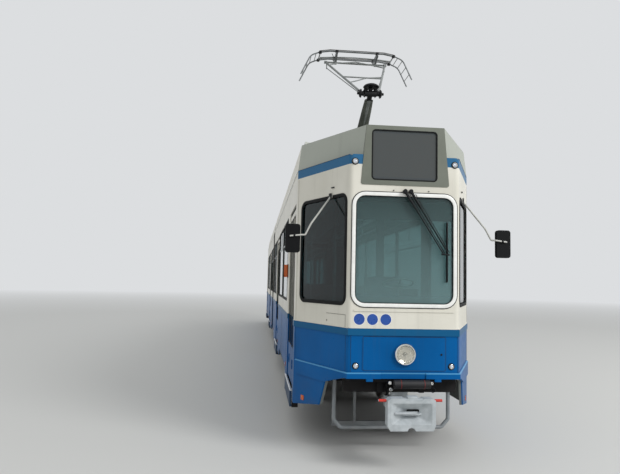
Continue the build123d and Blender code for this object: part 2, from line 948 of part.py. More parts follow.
def door_leaf(near, far, pivot_at, hinge_at, knuckle_offset):
    """One leaf of a folding door: a frame with a tall pane.

    near and far are its stations; pivot_at is the station of its post pivot or None;
    hinge_at is the station of its hinge to the next leaf.
    """
    low = door_bottom
    high = door_top - 35
    x0, x1 = leaf_outer_x, leaf_inner_x
    frame = block(x0, x1, near, far, low, high)
    pane_y0 = near + leaf_frame
    pane_y1 = far - leaf_frame
    frame -= side_panel((x0 + x1) / 2, pane_y0, pane_y1, leaf_pane_bottom, leaf_pane_top, 40, 90)
    pane = side_panel((x0 + x1) / 2, pane_y0 + seam, pane_y1 - seam, leaf_pane_bottom + seam,
                      leaf_pane_top - seam, 40 - seam, glass_thickness)
    for height in (720, 2600):
        z0 = height + knuckle_offset
        frame += bar_z(hinge_x, hinge_at, z0, z0 + 60 - seam, hinge_radius)
        inward = -1 if hinge_at > (near + far) / 2 else 1
        y0, y1 = sorted((hinge_at, hinge_at + inward * 24))
        frame += block(hinge_x - 2, x0 + 1, y0, y1, z0, z0 + 60 - seam)
    if pivot_at is not None:
        lower = lower_tread + seam
        upper = door_top - 20 - seam
        frame += bar_z(leaf_inner_x + 2, pivot_at, lower, low + 1, pivot_radius)
        frame += bar_z(leaf_inner_x + 2, pivot_at, high - 1, upper, pivot_radius)
    return [frame, pane]


def doorway_leaves(start, end):
    """The four leaves of a doorway: front pair, then rear pair."""
    gap = leaf_edge_gap
    front_hinge = start + leaf_width
    rear_hinge = end - leaf_width
    front_middle = start + 2 * leaf_width
    rear_middle = end - 2 * leaf_width
    pivot_inset = pivot_radius + 6
    return {
        "front_a": door_leaf(start + gap * 2, front_hinge - gap, start + pivot_inset, front_hinge, 0),
        "front_b": door_leaf(front_hinge + gap, front_middle, None, front_hinge, 60),
        "rear_a": door_leaf(rear_hinge + gap, end - gap * 2, end - pivot_inset, rear_hinge, 0),
        "rear_b": door_leaf(rear_middle, rear_hinge - gap, None, rear_hinge, 60),
    }


# Running gear

def wheelset(station):
    """Axle with two flanged wheels and its journals."""
    inner = wheel_inner_face
    outer = inner + wheel_width
    tread = wheel_radius
    flange = tread + flange_depth
    hub_radius = 140
    rim_radius = tread - 62
    profile = [
        (axle_radius - 5, inner),
        (flange - 5, inner),
        (flange, inner + flange_width - 12),
        (tread + 1, inner + flange_width),
        (tread - 4, outer),
        (rim_radius, outer),
        (rim_radius, inner + 65),
        (hub_radius, outer + 20),
        (axle_radius - 5, outer + 20),
    ]
    wire = Polyline(*[(radius, 0, x) for radius, x in profile], close=True)
    wheel = revolve(make_face(wire), axis=Axis.Z)
    left = Pos(0, station, axle_height) * Rot(0, 90, 0) * wheel
    axle = bar_x(-outer - 10, outer + 10, station, axle_height, axle_radius)
    axle += bar_x(-journal_end, journal_end, station, axle_height, journal_radius)
    return [axle + left + mirror(left, about=Plane.YZ)]


def bogie_frame(station, has_motor):
    """Side beams, transom, end tubes, axle boxes, track brakes and the motor block."""
    base = axle_height
    top = base + 150
    low = top - beam_height
    half = wheelbase / 2
    length = bogie_half_length
    frame = None
    for side in (-1, 1):
        x0, x1 = sorted((side * (beam_x - beam_width / 2), side * (beam_x + beam_width / 2)))
        outline = [
            (-length, low + 70), (-length, top), (-half - 160, top + 60), (-half + 160, top + 60),
            (-half + 330, top - 20), (half - 330, top - 20), (half - 160, top + 60),
            (half + 160, top + 60), (length, top), (length, low + 70), (half + 150, low + 30),
            (half - 150, low + 30), (half - 330, low - 40), (-half + 330, low - 40),
            (-half + 150, low + 30), (-half - 150, low + 30),
        ]
        beam = side_prism([(station + y, z) for y, z in outline], x0, x1)
        for axle in (-half, half):
            y = station + axle
            box = block(x0 + 1, x1, y - 95, y + 95, base - 95, low + 40)
            box += bar_x(x0, x1, y, base, 100)
            box -= bar_x(x0 - 1, x1 + 1, y, base, journal_radius + journal_clearance)
            beam += box
        frame = beam if frame is None else frame + beam
    reach = beam_x
    transom_top = 640
    frame += block(-reach, reach, station - 190, station + 190, low - 20, top - 30)
    frame += block(-260, 260, station - 170, station + 170, top - 40, transom_top)
    frame += bar_z(0, station, transom_top - 1, sill_bottom - seam, 150)
    for end in (-length + 45, length - 45):
        frame += bar_x(-reach, reach, station + end, top - 45, 38)
    # Magnetic track brakes hang under the beams between the wheels
    for side in (-1, 1):
        x0, x1 = sorted((side * 470, side * 570))
        frame += block(x0, x1, station - 380, station + 380, 40, 190)
        for y in (-150, 150):
            frame += block(x0 + 30, x1 - 30, station + y - 30, station + y + 30, 180, low)
        y0, y1 = station - 180, station + 180
        frame += block(x0, x1, y0, y1, low - 60, low + 10)
    if has_motor:
        frame += bar_y(0, station - 560, station + 560, base + 60, 190)
    return [frame]


def bogie_sets():
    """Each row: name, station, whether it carries a motor."""
    return [
        ("front", bogie_station, True),
        ("middle", pivot_station, False),
        ("rear", body_length - bogie_station, True),
    ]


# Pantograph

def insulator(top):
    """A post insulator with three sheds, turned about its own axis."""
    core = 32
    shed = 58
    outline = [(0, roof_top), (core + 12, roof_top), (core, roof_top + 20)]
    pitch = (top - roof_top - 60) / 3
    for number in range(3):
        low = roof_top + 25 + number * pitch
        outline += [(shed, low + 8), (core, low + pitch)]
    outline += [(core, top), (0, top)]
    wire = Polyline(*[(radius, 0, height) for radius, height in outline], close=True)
    return revolve(make_face(wire), axis=Axis.Z)


def panto_base():
    """Insulators, base frame and the bearing of the lower arm."""
    pivot_y, pivot_z = panto_pivot_station, panto_pivot_height
    frame_z = pivot_z - 15
    frame = None
    for side in (-1, 1):
        rail = bar_y(side * 330, pivot_y - 620, pivot_y + 420, frame_z, 22)
        frame = rail if frame is None else frame + rail
    for y in (pivot_y - 600, pivot_y + 400):
        frame += bar_x(-340, 340, y, frame_z, 22)
    frame += block(-350, 350, pivot_y + 60, pivot_y + 120, frame_z - 18, frame_z + 18)
    for side in (-1, 1):
        x0, x1 = sorted((side * 132, side * 152))
        frame += block(x0, x1, pivot_y - 34, pivot_y + 110, frame_z - 18, pivot_z + 34)
    frame += bar_x(-150, 150, pivot_y, pivot_z, 20)
    for x in (-330, 330):
        for y in (pivot_y - 500, pivot_y + 300):
            frame += Pos(x, y, 0) * insulator(frame_z - 10)
    return [frame]


def lower_arm():
    """Thick tube from the base bearing to the knee."""
    start = (0, panto_pivot_station, panto_pivot_height)
    end = (0, knee_station, knee_height)
    arm = strut(start, end, 38)
    arm += bar_x(-125, 125, start[1], start[2], 46)
    arm += bar_x(-90, 90, end[1], end[2], 44)
    arm -= bar_x(-130, 130, start[1], start[2], 20.3)
    arm -= bar_x(-100, 100, end[1], end[2], 18.3)
    return [arm]


def upper_arm():
    """Light A-frame from the knee to the head, with the levelling rod."""
    knee = (knee_station, knee_height)
    head = (head_station, head_height)
    arm = bar_x(-145, 145, knee[0], knee[1], 18)
    for side in (-1, 1):
        arm += strut((side * 120, knee[0], knee[1]), (side * apex_half, head[0], head[1]), 17)
        x0, x1 = sorted((side * 100, side * 140))
        arm += bar_x(x0, x1, knee[0], knee[1], 34)
        x0, x1 = sorted((side * (apex_half - 25), side * (apex_half + 25)))
        arm += bar_x(x0, x1, head[0], head[1], 24)
    arm += bar_x(-apex_half, apex_half, head[0], head[1], 15)
    brace = ((knee[0] + head[0]) / 2, (knee[1] + head[1]) / 2)
    brace_half = (120 + apex_half) / 2
    arm += bar_x(-brace_half, brace_half, brace[0], brace[1], 11)
    return [arm]


def panto_head():
    """Two carbon strips with bent-down ends on two hangers, and a drooping horn at each end."""
    hanger_x = 345
    bearing_radius = 30
    foot = strip_height - 14
    head = None
    for side in (-1, 1):
        x0, x1 = sorted((side * (hanger_x - 15), side * (hanger_x + 15)))
        hanger = side_prism([
            (head_station - bearing_radius, head_height),
            (head_station + bearing_radius, head_height),
            (head_station + strip_pitch + 20, foot - 24),
            (head_station + strip_pitch + 20, foot),
            (head_station - strip_pitch - 20, foot),
            (head_station - strip_pitch - 20, foot - 24),
        ], x0, x1)
        hanger += bar_x(x0, x1, head_station, head_height, bearing_radius)
        hanger -= bar_x(x0 - 1, x1 + 1, head_station, head_height, 15.3)
        head = hanger if head is None else head + hanger
    level_half = strip_half - 180
    outline = [
        (-level_half, strip_height + 12), (level_half, strip_height + 12),
        (strip_half, strip_height - 18), (strip_half, strip_height - 44),
        (level_half, strip_height - 14), (-level_half, strip_height - 14),
        (-strip_half, strip_height - 44), (-strip_half, strip_height - 18),
    ]
    for y in (head_station - strip_pitch, head_station + strip_pitch):
        head += front_prism(outline, y - 22, y + 22)
        for side in (-1, 1):
            points = [
                (side * (strip_half - 20), y, strip_height - 30),
                (side * (strip_half + 150), y, strip_height - 100),
                (side * horn_half, y, horn_bottom),
            ]
            head += tube(points, 11, 160)
    return [head]


def bellows():
    """Folded gaiter between the sections: two sides and a top."""
    outer = inner_half - 10
    inner = outer - 90
    y0 = section_end + seam
    y1 = body_length - section_end - seam
    shape = block(-outer, outer, y0, y1, 780, roof_top - 60)
    shape -= block(-inner, inner, y0 - 1, y1 + 1, 779, roof_top - 150)
    return [shape]


def main():
    os.makedirs("parts", exist_ok=True)
    lower_tongue_top = sill_bottom + tongue_thickness
    frame_a = underframe(lower_tongue_top, has_turntable=True)
    frame_b = underframe(lower_tongue_top + tongue_thickness + seam, has_turntable=False)
    door_wall = side_wall(-1, DOORWAYS, SIDE_WINDOWS)
    closed_windows = SIDE_WINDOWS + CLOSED_SIDE_WINDOWS
    closed_wall = side_wall(1, [], closed_windows)
    side_panes = side_glass(-1, SIDE_WINDOWS) + side_glass(1, closed_windows)
    headers = door_headers()

    save("underframe_a", frame_a)
    save("underframe_b", mirrored(frame_b))
    save("door_wall_a", door_wall)
    save("door_wall_b", mirrored(door_wall))
    save("closed_wall_a", closed_wall)
    save("closed_wall_b", mirrored(closed_wall))
    front_roof = roof()
    for screen in roof_fairings():
        front_roof += screen
    rear_roof = roof()
    for case in roof_gear(REAR_ROOF_BOXES):
        rear_roof += case
    save("roof_a", [front_roof])
    save("roof_b", mirrored([rear_roof]))
    save("cab_shell", cab_body())
    save("rear_shell", mirrored([end_body()]))
    save("glass_a", side_panes + end_glass())
    save("glass_b", mirrored(side_panes + end_glass()))
    save("destination_box", destination_box())
    save("rear_destination_box", mirrored(destination_box()))
    save("front_lamps", front_lamps())
    save("rear_lamps", mirrored(rear_lamps()))
    save("front_coupler", coupler())
    save("rear_coupler", mirrored(coupler()))
    save("under_run_guard", under_run_guard())
    save("mirrors", mirrors())
    save("cab_interior", cab_interior())
    save("seats_a", seats())
    save("seats_b", mirrored(seats()))
    save("handrails_a", handrails() + headers)
    save("handrails_b", mirrored(handrails() + headers))
    save("roof_gear", roof_gear(ROOF_BOXES))
    save("bellows", bellows())
    save("pantograph_base", panto_base())
    save("pantograph_lower_arm", lower_arm())
    save("pantograph_upper_arm", upper_arm())
    save("pantograph_head", panto_head())

    for name, station, has_motor in bogie_sets():
        save("bogie_frame_" + name, bogie_frame(station, has_motor))
        for end, offset in (("front", -wheelbase / 2), ("rear", wheelbase / 2)):
            save("wheelset_" + name + "_" + end, wheelset(station + offset))

    for front_door, start in enumerate(DOORWAYS, 1):
        end = start + door_width
        leaves = doorway_leaves(start, end)
        rear_door = 5 - front_door
        for leaf, shapes in leaves.items():
            save("door_" + str(front_door) + "_" + leaf, shapes)
            save("door_" + str(rear_door) + "_" + leaf, mirrored(shapes))
        save("step_" + str(front_door), folding_step(start, end))
        save("step_" + str(rear_door), mirrored(folding_step(start, end)))


main()
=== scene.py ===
"""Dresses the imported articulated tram: finishes, seals, lamps, gaiter, running gear, studio.

Positions across the tram are x, stations run back from the body's front face, and heights are
above the rail top, all in metres. The function at() turns them into the frame's own coordinates.
"""

from __future__ import annotations

import json
import logging
import math
from collections.abc import Callable, Iterator, Sequence
from contextlib import contextmanager
from dataclasses import dataclass
from enum import Enum

import bpy
from mathutils import Matrix, Vector

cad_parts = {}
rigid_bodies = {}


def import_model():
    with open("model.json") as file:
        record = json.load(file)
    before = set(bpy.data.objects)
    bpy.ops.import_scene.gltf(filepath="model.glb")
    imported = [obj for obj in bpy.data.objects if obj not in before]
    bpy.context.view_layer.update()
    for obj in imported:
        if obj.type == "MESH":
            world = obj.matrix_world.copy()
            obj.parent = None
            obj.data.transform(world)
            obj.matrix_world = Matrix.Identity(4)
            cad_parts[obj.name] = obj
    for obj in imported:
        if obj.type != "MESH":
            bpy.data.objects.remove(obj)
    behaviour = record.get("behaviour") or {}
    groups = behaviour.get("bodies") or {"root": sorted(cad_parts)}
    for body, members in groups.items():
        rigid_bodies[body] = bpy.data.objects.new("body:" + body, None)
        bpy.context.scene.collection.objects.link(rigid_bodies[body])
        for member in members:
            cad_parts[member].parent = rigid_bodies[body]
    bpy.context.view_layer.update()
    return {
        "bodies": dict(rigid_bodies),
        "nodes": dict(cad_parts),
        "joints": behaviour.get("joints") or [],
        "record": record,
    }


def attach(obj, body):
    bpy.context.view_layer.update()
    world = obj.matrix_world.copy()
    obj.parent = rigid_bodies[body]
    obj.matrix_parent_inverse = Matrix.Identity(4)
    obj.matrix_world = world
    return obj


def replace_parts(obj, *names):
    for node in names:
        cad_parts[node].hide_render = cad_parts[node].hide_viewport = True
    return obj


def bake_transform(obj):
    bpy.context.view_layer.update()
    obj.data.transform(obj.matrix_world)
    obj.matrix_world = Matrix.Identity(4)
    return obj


LOG = logging.getLogger("tram")

Piece = bpy.types.Object
Socket = bpy.types.NodeSocket
Material = bpy.types.Material
Pair = tuple[float, float]
Row = tuple[float, ...]
Plan = tuple[Pair, ...]
Rows = tuple[Row, ...]

SIDES = (-1, 1)
AXIS_X, AXIS_Y, AXIS_Z = Vector((1, 0, 0)), Vector((0, 1, 0)), Vector((0, 0, 1))

HALF_LENGTH = 10.370
FLANGE_DEPTH = 0.025
BODY_HALF = 1.100
NOSE_HALF = 0.603
NOSE_DEPTH = 1.066
TAPER_SLOPE = (BODY_HALF - NOSE_HALF) / NOSE_DEPTH
TAPER_LENGTH = math.hypot(BODY_HALF - NOSE_HALF, NOSE_DEPTH)
WINDOW_BOTTOM = 1.580
WINDOW_TOP = 2.870
SECTION_END = 10.070
ROOF_TOP = 3.600
EAVES = 3.270
AXLE_HEIGHT = 0.330
# Where finishes change: rolled cover over the coupler's head, mirror heads outside their arms,
# insulators under the pantograph's frame, desk before the driver, nosing along a folded step
COVER_Z = 0.775
MIRROR_ARM_X = 1.1195
INSULATOR_Z = 3.846
DESK_Y = 0.620 - HALF_LENGTH
NOSING_Z = 0.516
# The same for the pantograph's greased knee, its bent contact strips and the wheels' treads
KNEE_Z, KNEE_REACH = 4.675, 0.085
STRIP_BEND_X, STRIP_SLOPE, STRIP_Z = 0.46, 0.167, 5.802
TREAD_RADIUS = 0.3245
# How far a piece laid on a face stands off it
LAID = 0.0003

# Each row: first station, last station of a side window in the front section
DOOR_SIDE_WINDOWS = ((2.9540, 4.5674), (4.6474, 6.2608), (7.7088, 8.7844), (8.8644, 9.9400))
CLOSED_SIDE_WINDOWS = DOOR_SIDE_WINDOWS + ((1.2600, 2.5400), (6.3348, 7.6148))
DOORWAY_STARTS = (1.2660, 6.3408)
DOOR_WIDTH = 1.268
BOGIE_STATIONS = {"front": 4.270, "middle": HALF_LENGTH, "rear": 2 * HALF_LENGTH - 4.270}
HALF_WHEELBASE = 0.900


def at(x: float, station: float, height: float) -> Vector:
    """Return a point of the frame from its place on the tram.

    Args:
        x: distance to the tram's left of its centre line.
        station: distance back from the body's front face.
        height: height above the rail top.

    Returns:
        The point in the frame's coordinates.
    """
    return Vector((x, station - HALF_LENGTH, height + FLANGE_DEPTH))


def around(middle: float, reach: float) -> Pair:
    """Return both ends of a span that reaches equally far to either side."""
    return middle - reach, middle + reach


def linear(colour: str) -> tuple[float, float, float, float]:
    """Return a linear RGBA colour from an sRGB hex value."""
    channels = [int(colour[i:i + 2], 16) / 255 for i in (1, 3, 5)]
    return tuple(c / 12.92 if c <= 0.04045 else ((c + 0.055) / 1.055) ** 2.4
                 for c in channels) + (1.0,)


def add_node(tree: bpy.types.NodeTree, kind: str, values: dict | None = None,
             **settings: object) -> bpy.types.Node:
    """Add a shader node with its settings, constants and links.

    Args:
        tree: the material's node tree.
        kind: the node's type name without its ShaderNode prefix.
        values: for each input, by name or number, a constant or the socket that feeds it.
        settings: properties of the node.

    Returns:
        The new node.
    """
    node = tree.nodes.new("ShaderNode" + kind)
    for name, value in settings.items():
        setattr(node, name, value)
    for name, value in (values or {}).items():
        if isinstance(value, bpy.types.NodeSocket):
            tree.links.new(value, node.inputs[name])
        else:
            node.inputs[name].default_value = value
    return node


class Shade:
    """The node tree of one material, with the few steps that its finishes share."""

    def __init__(self, name: str) -> None:
        """Start an empty tree with object coordinates."""
        self.material = bpy.data.materials.new(name)
        self.material.use_nodes = True
        self.tree = self.material.node_tree
        self.tree.nodes.clear()
        self.place = add_node(self.tree, "TexCoord").outputs["Object"]
        split = add_node(self.tree, "SeparateXYZ", {"Vector": self.place})
        self.x, self.y, self.z = (split.outputs[axis] for axis in "XYZ")

    def math(self, operation: str, *values: object) -> Socket:
        """Return the result of a math node."""
        return add_node(self.tree, "Math", dict(enumerate(values)), operation=operation).outputs[0]

    def times(self, first: object, *others: object) -> Socket:
        """Return the product of several values."""
        for value in others:
            first = self.math("MULTIPLY", first, value)
        return first

    def over(self, value: object, limit: float) -> Socket:
        """Return 1 where a value is greater than a limit, and 0 elsewhere."""
        return self.math("GREATER_THAN", value, limit)

    def under(self, value: object, limit: float) -> Socket:
        """Return 1 where a value is less than a limit, and 0 elsewhere."""
        return self.math("LESS_THAN", value, limit)

    def within(self, value: object, low: float, high: float) -> Socket:
        """Return 1 where a value lies between two limits, and 0 elsewhere."""
        return self.times(self.over(value, low), self.under(value, high))

    def size(self, value: object) -> Socket:
        """Return a value without its sign."""
        return self.math("ABSOLUTE", value)

    @property
    def across(self) -> Socket:
        """Return the distance from the centre line."""
        return self.size(self.x)

    @property
    def station(self) -> Socket:
        """Return the distance in from the nearer end of the tram."""
        return self.math("SUBTRACT", HALF_LENGTH, self.size(self.y))

    @property
    def height(self) -> Socket:
        """Return the height above the rail top."""
        return self.math("SUBTRACT", self.z, FLANGE_DEPTH)

    @property
    def taper(self) -> Socket:
        """Return the distance from the centre line, drawn in along the tapered panels."""
        return self.math("MULTIPLY_ADD", self.station, -TAPER_SLOPE, self.across)

    def noise(self, size_mm: float, detail: float = 3.0, upright: float = 1) -> Socket:
        """Return a noise pattern whose patches measure about size_mm."""
        vector = add_node(self.tree, "Mapping", {"Vector": self.place, "Scale": (1, 1, upright)})
        feeds = {"Vector": vector.outputs[0], "Scale": 1000 / size_mm, "Detail": detail}
        return add_node(self.tree, "TexNoise", feeds).outputs["Fac"]

    def spread(self, value: Socket, low: float, high: float) -> Socket:
        """Return a value stretched so that low becomes 0 and high becomes 1."""
        feeds = {"Value": value, "From Min": low, "From Max": high}
        return add_node(self.tree, "MapRange", feeds).outputs["Result"]

    def mix(self, factor: object, first: object, second: object) -> Socket:
        """Return a blend of two colours, each a hex value or a socket."""
        first, second = (linear(colour) if isinstance(colour, str) else colour
                         for colour in (first, second))
        feeds = {0: factor, 6: first, 7: second}
        return add_node(self.tree, "Mix", feeds, data_type="RGBA").outputs[2]

    def bump(self, height: Socket, depth_mm: float) -> Socket:
        """Return a surface normal raised by a height pattern of depth_mm."""
        feeds = {"Height": height, "Distance": depth_mm / 1000, "Strength": 1.0}
        return add_node(self.tree, "Bump", feeds).outputs["Normal"]

    def surface(self, **sockets: object) -> Socket:
        """Return a principled surface; underscores in names stand for spaces."""
        feeds = {name.replace("_", " "): value for name, value in sockets.items()}
        return add_node(self.tree, "BsdfPrincipled", feeds).outputs[0]

    def finish(self, surface: Socket | None = None, **sockets: object) -> Material:
        """Lead a surface, or a principled one with these sockets, to the output."""
        feeds = {"Surface": surface or self.surface(**sockets)}
        add_node(self.tree, "OutputMaterial", feeds)
        return self.material


@dataclass(frozen=True)
class Finish:
    """A worn finish: two shades, fine relief, dust low down and a second colour under a mask."""

    name: str
    colour: str
    shade: str
    roughness: float = 0.5
    metallic: float = 0.0
    patch_mm: float = 120.0
    grain_mm: float = 4.0
    relief_mm: float = 0.15
    dust: float = 0.0
    dust_colour: str = "#6b6256"
    dust_patch_mm: float = 260.0
    dust_heights: Pair = (1.1, 0.1)
    gloss: float = 0.5
    other: str = "#000000"
    other_roughness: float = 0.5
    mask: Callable[[Shade], Socket] | None = None

    def tint(self, shade: Shade) -> Socket:
        """Return the finish's colour before dust."""
        patches = shade.spread(shade.noise(self.patch_mm), 0.35, 0.68)
        return shade.mix(patches, self.colour, self.shade)

    def build(self) -> Material:
        """Return the material."""
        shade = Shade(self.name)
        colour = self.tint(shade)
        if self.mask:
            mask = self.mask(shade)
            colour = shade.mix(mask, colour, self.other)
            span = self.other_roughness - self.roughness
            rough = shade.math("MULTIPLY_ADD", mask, span, self.roughness)
        else:
            wear = shade.noise(self.patch_mm / 3)
            rough = shade.math("MULTIPLY_ADD", wear, 0.2, self.roughness - 0.1)
        if self.dust:
            cloud = shade.spread(shade.noise(self.dust_patch_mm, 5), 0.3, 0.7)
            amount = shade.times(shade.spread(shade.z, *self.dust_heights), cloud, self.dust)
            colour = shade.mix(amount, colour, self.dust_colour)
        normal = shade.bump(shade.noise(self.grain_mm), self.relief_mm)
        return shade.finish(Base_Color=colour, Roughness=rough, Normal=normal,
                            Metallic=self.metallic, Specular_IOR_Level=self.gloss)


@dataclass(frozen=True)
class CoachEnamel:
    """Sprayed and baked coach enamel: cream over blue, with a darker moulding.

    Enamel over sheet steel gives soft gloss with faint waves, and road film that gathers low down.
    """

    name: str = "coach_enamel"
    cream: tuple[str, str] = ("#dedbd0", "#d3d0c4")
    blue: tuple[str, str] = ("#045a9a", "#03518c")
    moulding: str = "#175883"
    stripe: str = "#34688f"
    inside: str = "#6f7371"
    road_dirt: str = "#4d4a45"
    # Painted highlight: a pale blue line along the bumper bands' sloped upper edge
    bumper_highlight: str = "#4a8cb8"
    moulding_bottom: float = 1.320
    moulding_top: float = 1.394
    stripe_bottom: float = 3.163
    bumper_edge: Pair = (0.9195, 0.9335)
    patch_mm: float = 700.0
    wave_mm: float = 420.0
    drip_mm: float = 60.0
    drips: float = 0.10
    film_mm: float = 180.0
    film: float = 0.4
    film_heights: Pair = (0.90, 0.38)
    skin: float = 0.016
    half_pane: float = 0.0045
    striped: bool = False
    pane_x: float | None = None

    def inside_mask(self, shade: Shade) -> Socket:
        """Return 1 on faces that look into the car."""
        return shade.times(shade.over(shade.station, self.skin),
                           shade.under(shade.across, BODY_HALF - self.skin),
                           shade.under(shade.taper, NOSE_HALF - self.skin))

    def bumper_highlight_mask(self, shade: Shade) -> Socket:
        """Return 1 on the sloped upper edge of the bumper bands, which gets a painted highlight."""
        proud = shade.math("MAXIMUM", shade.under(shade.station, -0.006),
                           shade.over(shade.taper, NOSE_HALF + 0.008))
        return shade.times(proud, shade.within(shade.height, *self.bumper_edge))

    def livery(self, shade: Shade) -> Socket:
        """Return the banded colour with light soiling."""
        patches = shade.spread(shade.noise(self.patch_mm, 4), 0.35, 0.65)
        height = shade.height
        colour = shade.mix(shade.under(height, self.moulding_top),
                           shade.mix(patches, *self.cream), self.moulding)
        colour = shade.mix(shade.under(height, self.moulding_bottom), colour,
                           shade.mix(patches, *self.blue))
        if self.striped:
            colour = shade.mix(shade.over(height, self.stripe_bottom), colour, self.stripe)
        drips = shade.spread(shade.noise(self.drip_mm, 4, 0.06), 0.54, 0.80)
        colour = shade.mix(shade.times(drips, self.drips), colour, self.road_dirt)
        # Painted highlight along the bumper bands' sloped upper edge
        colour = shade.mix(self.bumper_highlight_mask(shade), colour, self.bumper_highlight)
        cloud = shade.spread(shade.noise(self.film_mm, 5), 0.25, 0.75)
        film = shade.times(shade.spread(shade.z, *self.film_heights), cloud, self.film)
        return shade.mix(film, colour, self.road_dirt)

    def build(self) -> Material:
        """Return the material, for a door with its pane."""
        shade = Shade(self.name)
        colour = self.livery(shade)
        if self.pane_x is None:
            colour = shade.mix(self.inside_mask(shade), colour, self.inside)
        rough = shade.math("MULTIPLY_ADD", shade.noise(90), 0.20, 0.22)
        normal = shade.bump(shade.noise(self.wave_mm, 1), 1.2)
        paint = shade.surface(Base_Color=colour, Roughness=rough, Normal=normal,
                              Specular_IOR_Level=0.07)
        if self.pane_x is None:
            return shade.finish(paint)
        pane = shade.surface(Base_Color=linear(TintedGlass.colour), Roughness=0.03,
                             Transmission_Weight=TintedGlass.transmission, IOR=1.3)
        mask = shade.within(shade.x, *around(self.pane_x, self.half_pane))
        both = add_node(shade.tree, "MixShader", {0: mask, 1: paint, 2: pane})
        return shade.finish(both.outputs[0])


@dataclass(frozen=True)
class RoofEnamel(Finish):
    """Thick brushed roof enamel: chalky and blotched on top, cream on the leaning sides."""

    side: str = "#dedbd0"
    fascia: str = "#a6aaa0"
    screen: str = "#b6b8b0"
    drip: str = "#5b5850"
    drip_mm: float = 70.0
    drips: float = 0.14
    lean: float = 0.121

    def tint(self, shade: Shade) -> Socket:
        """Return grey on top, cream on the sides, light grey on the end and the screens."""
        height = shade.height
        rise = shade.math("SUBTRACT", height, EAVES)
        leaning = shade.math("MULTIPLY_ADD", rise, self.lean, shade.across)
        beside = shade.times(shade.over(leaning, BODY_HALF - 0.006),
                             shade.over(shade.station, NOSE_DEPTH + 0.002))
        colour = super().tint(shade)
        colour = shade.mix(shade.under(height, ROOF_TOP - 0.002), colour, self.fascia)
        colour = shade.mix(shade.over(height, ROOF_TOP + 0.010), colour, self.screen)
        colour = shade.mix(beside, colour, self.side)
        drips = shade.spread(shade.noise(self.drip_mm, 4, 0.08), 0.55, 0.8)
        return shade.mix(shade.times(drips, self.drips), colour, self.drip)


@dataclass(frozen=True)
class TintedGlass:
    """Heat-absorbing safety glass, tinted green in the melt: a teal cast, gloss, faint dust.

    The windscreen grows paler and less clear downwards, a painted reflection, and the cab's side
    windows get a darker tint, painted shade of the dim cab behind them.
    """

    name: str = "tinted_glass"
    colour: str = "#8cabac"
    cab_painted_shade: str = "#3f6266"
    dust_colour: str = "#8a8f8a"
    roughness: float = 0.02
    transmission: float = 0.94
    screen_station: float = 0.030
    cab_station: float = 1.150
    painted_reflection: float = -0.34
    painted_reflection_heights: Pair = (3.05, 1.60)
    cab_gain: float = 0.04

    def build(self) -> Material:
        """Return the material."""
        shade = Shade(self.name)
        dust = shade.spread(shade.noise(300, 5), 0.45, 0.8)
        rough = shade.math("MULTIPLY_ADD", dust, 0.05, self.roughness)
        screen = shade.under(shade.y, self.screen_station - HALF_LENGTH)
        cab = shade.math("SUBTRACT", shade.under(shade.y, self.cab_station - HALF_LENGTH), screen)
        # Painted shade: the cab's side windows get a darker tint
        tint = shade.mix(cab, self.colour, self.cab_painted_shade)
        colour = shade.mix(shade.times(dust, 0.08), tint, self.dust_colour)
        # Painted reflection: the windscreen grows less clear, and so paler, downwards
        film = shade.times(screen, shade.spread(shade.z, *self.painted_reflection_heights))
        clear = shade.math("MULTIPLY_ADD", cab, self.cab_gain, self.transmission)
        clear = shade.math("MULTIPLY_ADD", film, self.painted_reflection, clear)
        return shade.finish(Base_Color=colour, Roughness=rough, IOR=1.33,
                            Transmission_Weight=clear, Specular_IOR_Level=0.12)


@dataclass(frozen=True)
class LampGlass:
    """Pressed lamp glass with fine upright flutes, which break the bulb into bright bars."""

    name: str
    colour: str
    flute_mm: float = 7.0
    transmission: float = 0.55
    relief_mm: float = 0.25
    cloud_colour: str = "#c9c6bd"

    def build(self) -> Material:
        """Return the material."""
        shade = Shade(self.name)
        across = shade.math("ADD", shade.x, shade.y)
        waves = shade.math("SINE", shade.times(across, math.tau * 1000 / self.flute_mm))
        cloud = shade.mix(shade.spread(shade.noise(25), 0.3, 0.8), self.colour, self.cloud_colour)
        return shade.finish(
            Base_Color=shade.mix(0.15, self.colour, cloud), Roughness=0.08, IOR=1.5,
            Transmission_Weight=self.transmission, Normal=shade.bump(waves, self.relief_mm))


@dataclass(frozen=True)
class DotMatrix:
    """A display of unlit dots behind a smoky pane."""

    name: str = "dot_matrix"
    pane: str = "#3c4244"
    dot: str = "#4f4c42"
    pitch_mm: float = 11.0
    dot_share: float = 0.06
    middle: float = 3.2985
    half_height: float = 0.24

    def build(self) -> Material:
        """Return the material."""
        shade = Shade(self.name)
        squares = []
        for axis in (shade.x, shade.z):
            cell = shade.math("FRACT", shade.times(axis, 1000 / self.pitch_mm))
            offset = shade.math("SUBTRACT", cell, 0.5)
            squares.append(shade.times(offset, offset))
        dot = shade.under(shade.math("ADD", *squares), self.dot_share)
        reach = shade.size(shade.math("SUBTRACT", shade.z, self.middle))
        lit = shade.times(dot, shade.under(reach, self.half_height))
        colour = shade.mix(lit, self.pane, self.dot)
        return shade.finish(Base_Color=colour, Roughness=0.12, Coat_Weight=0.3)


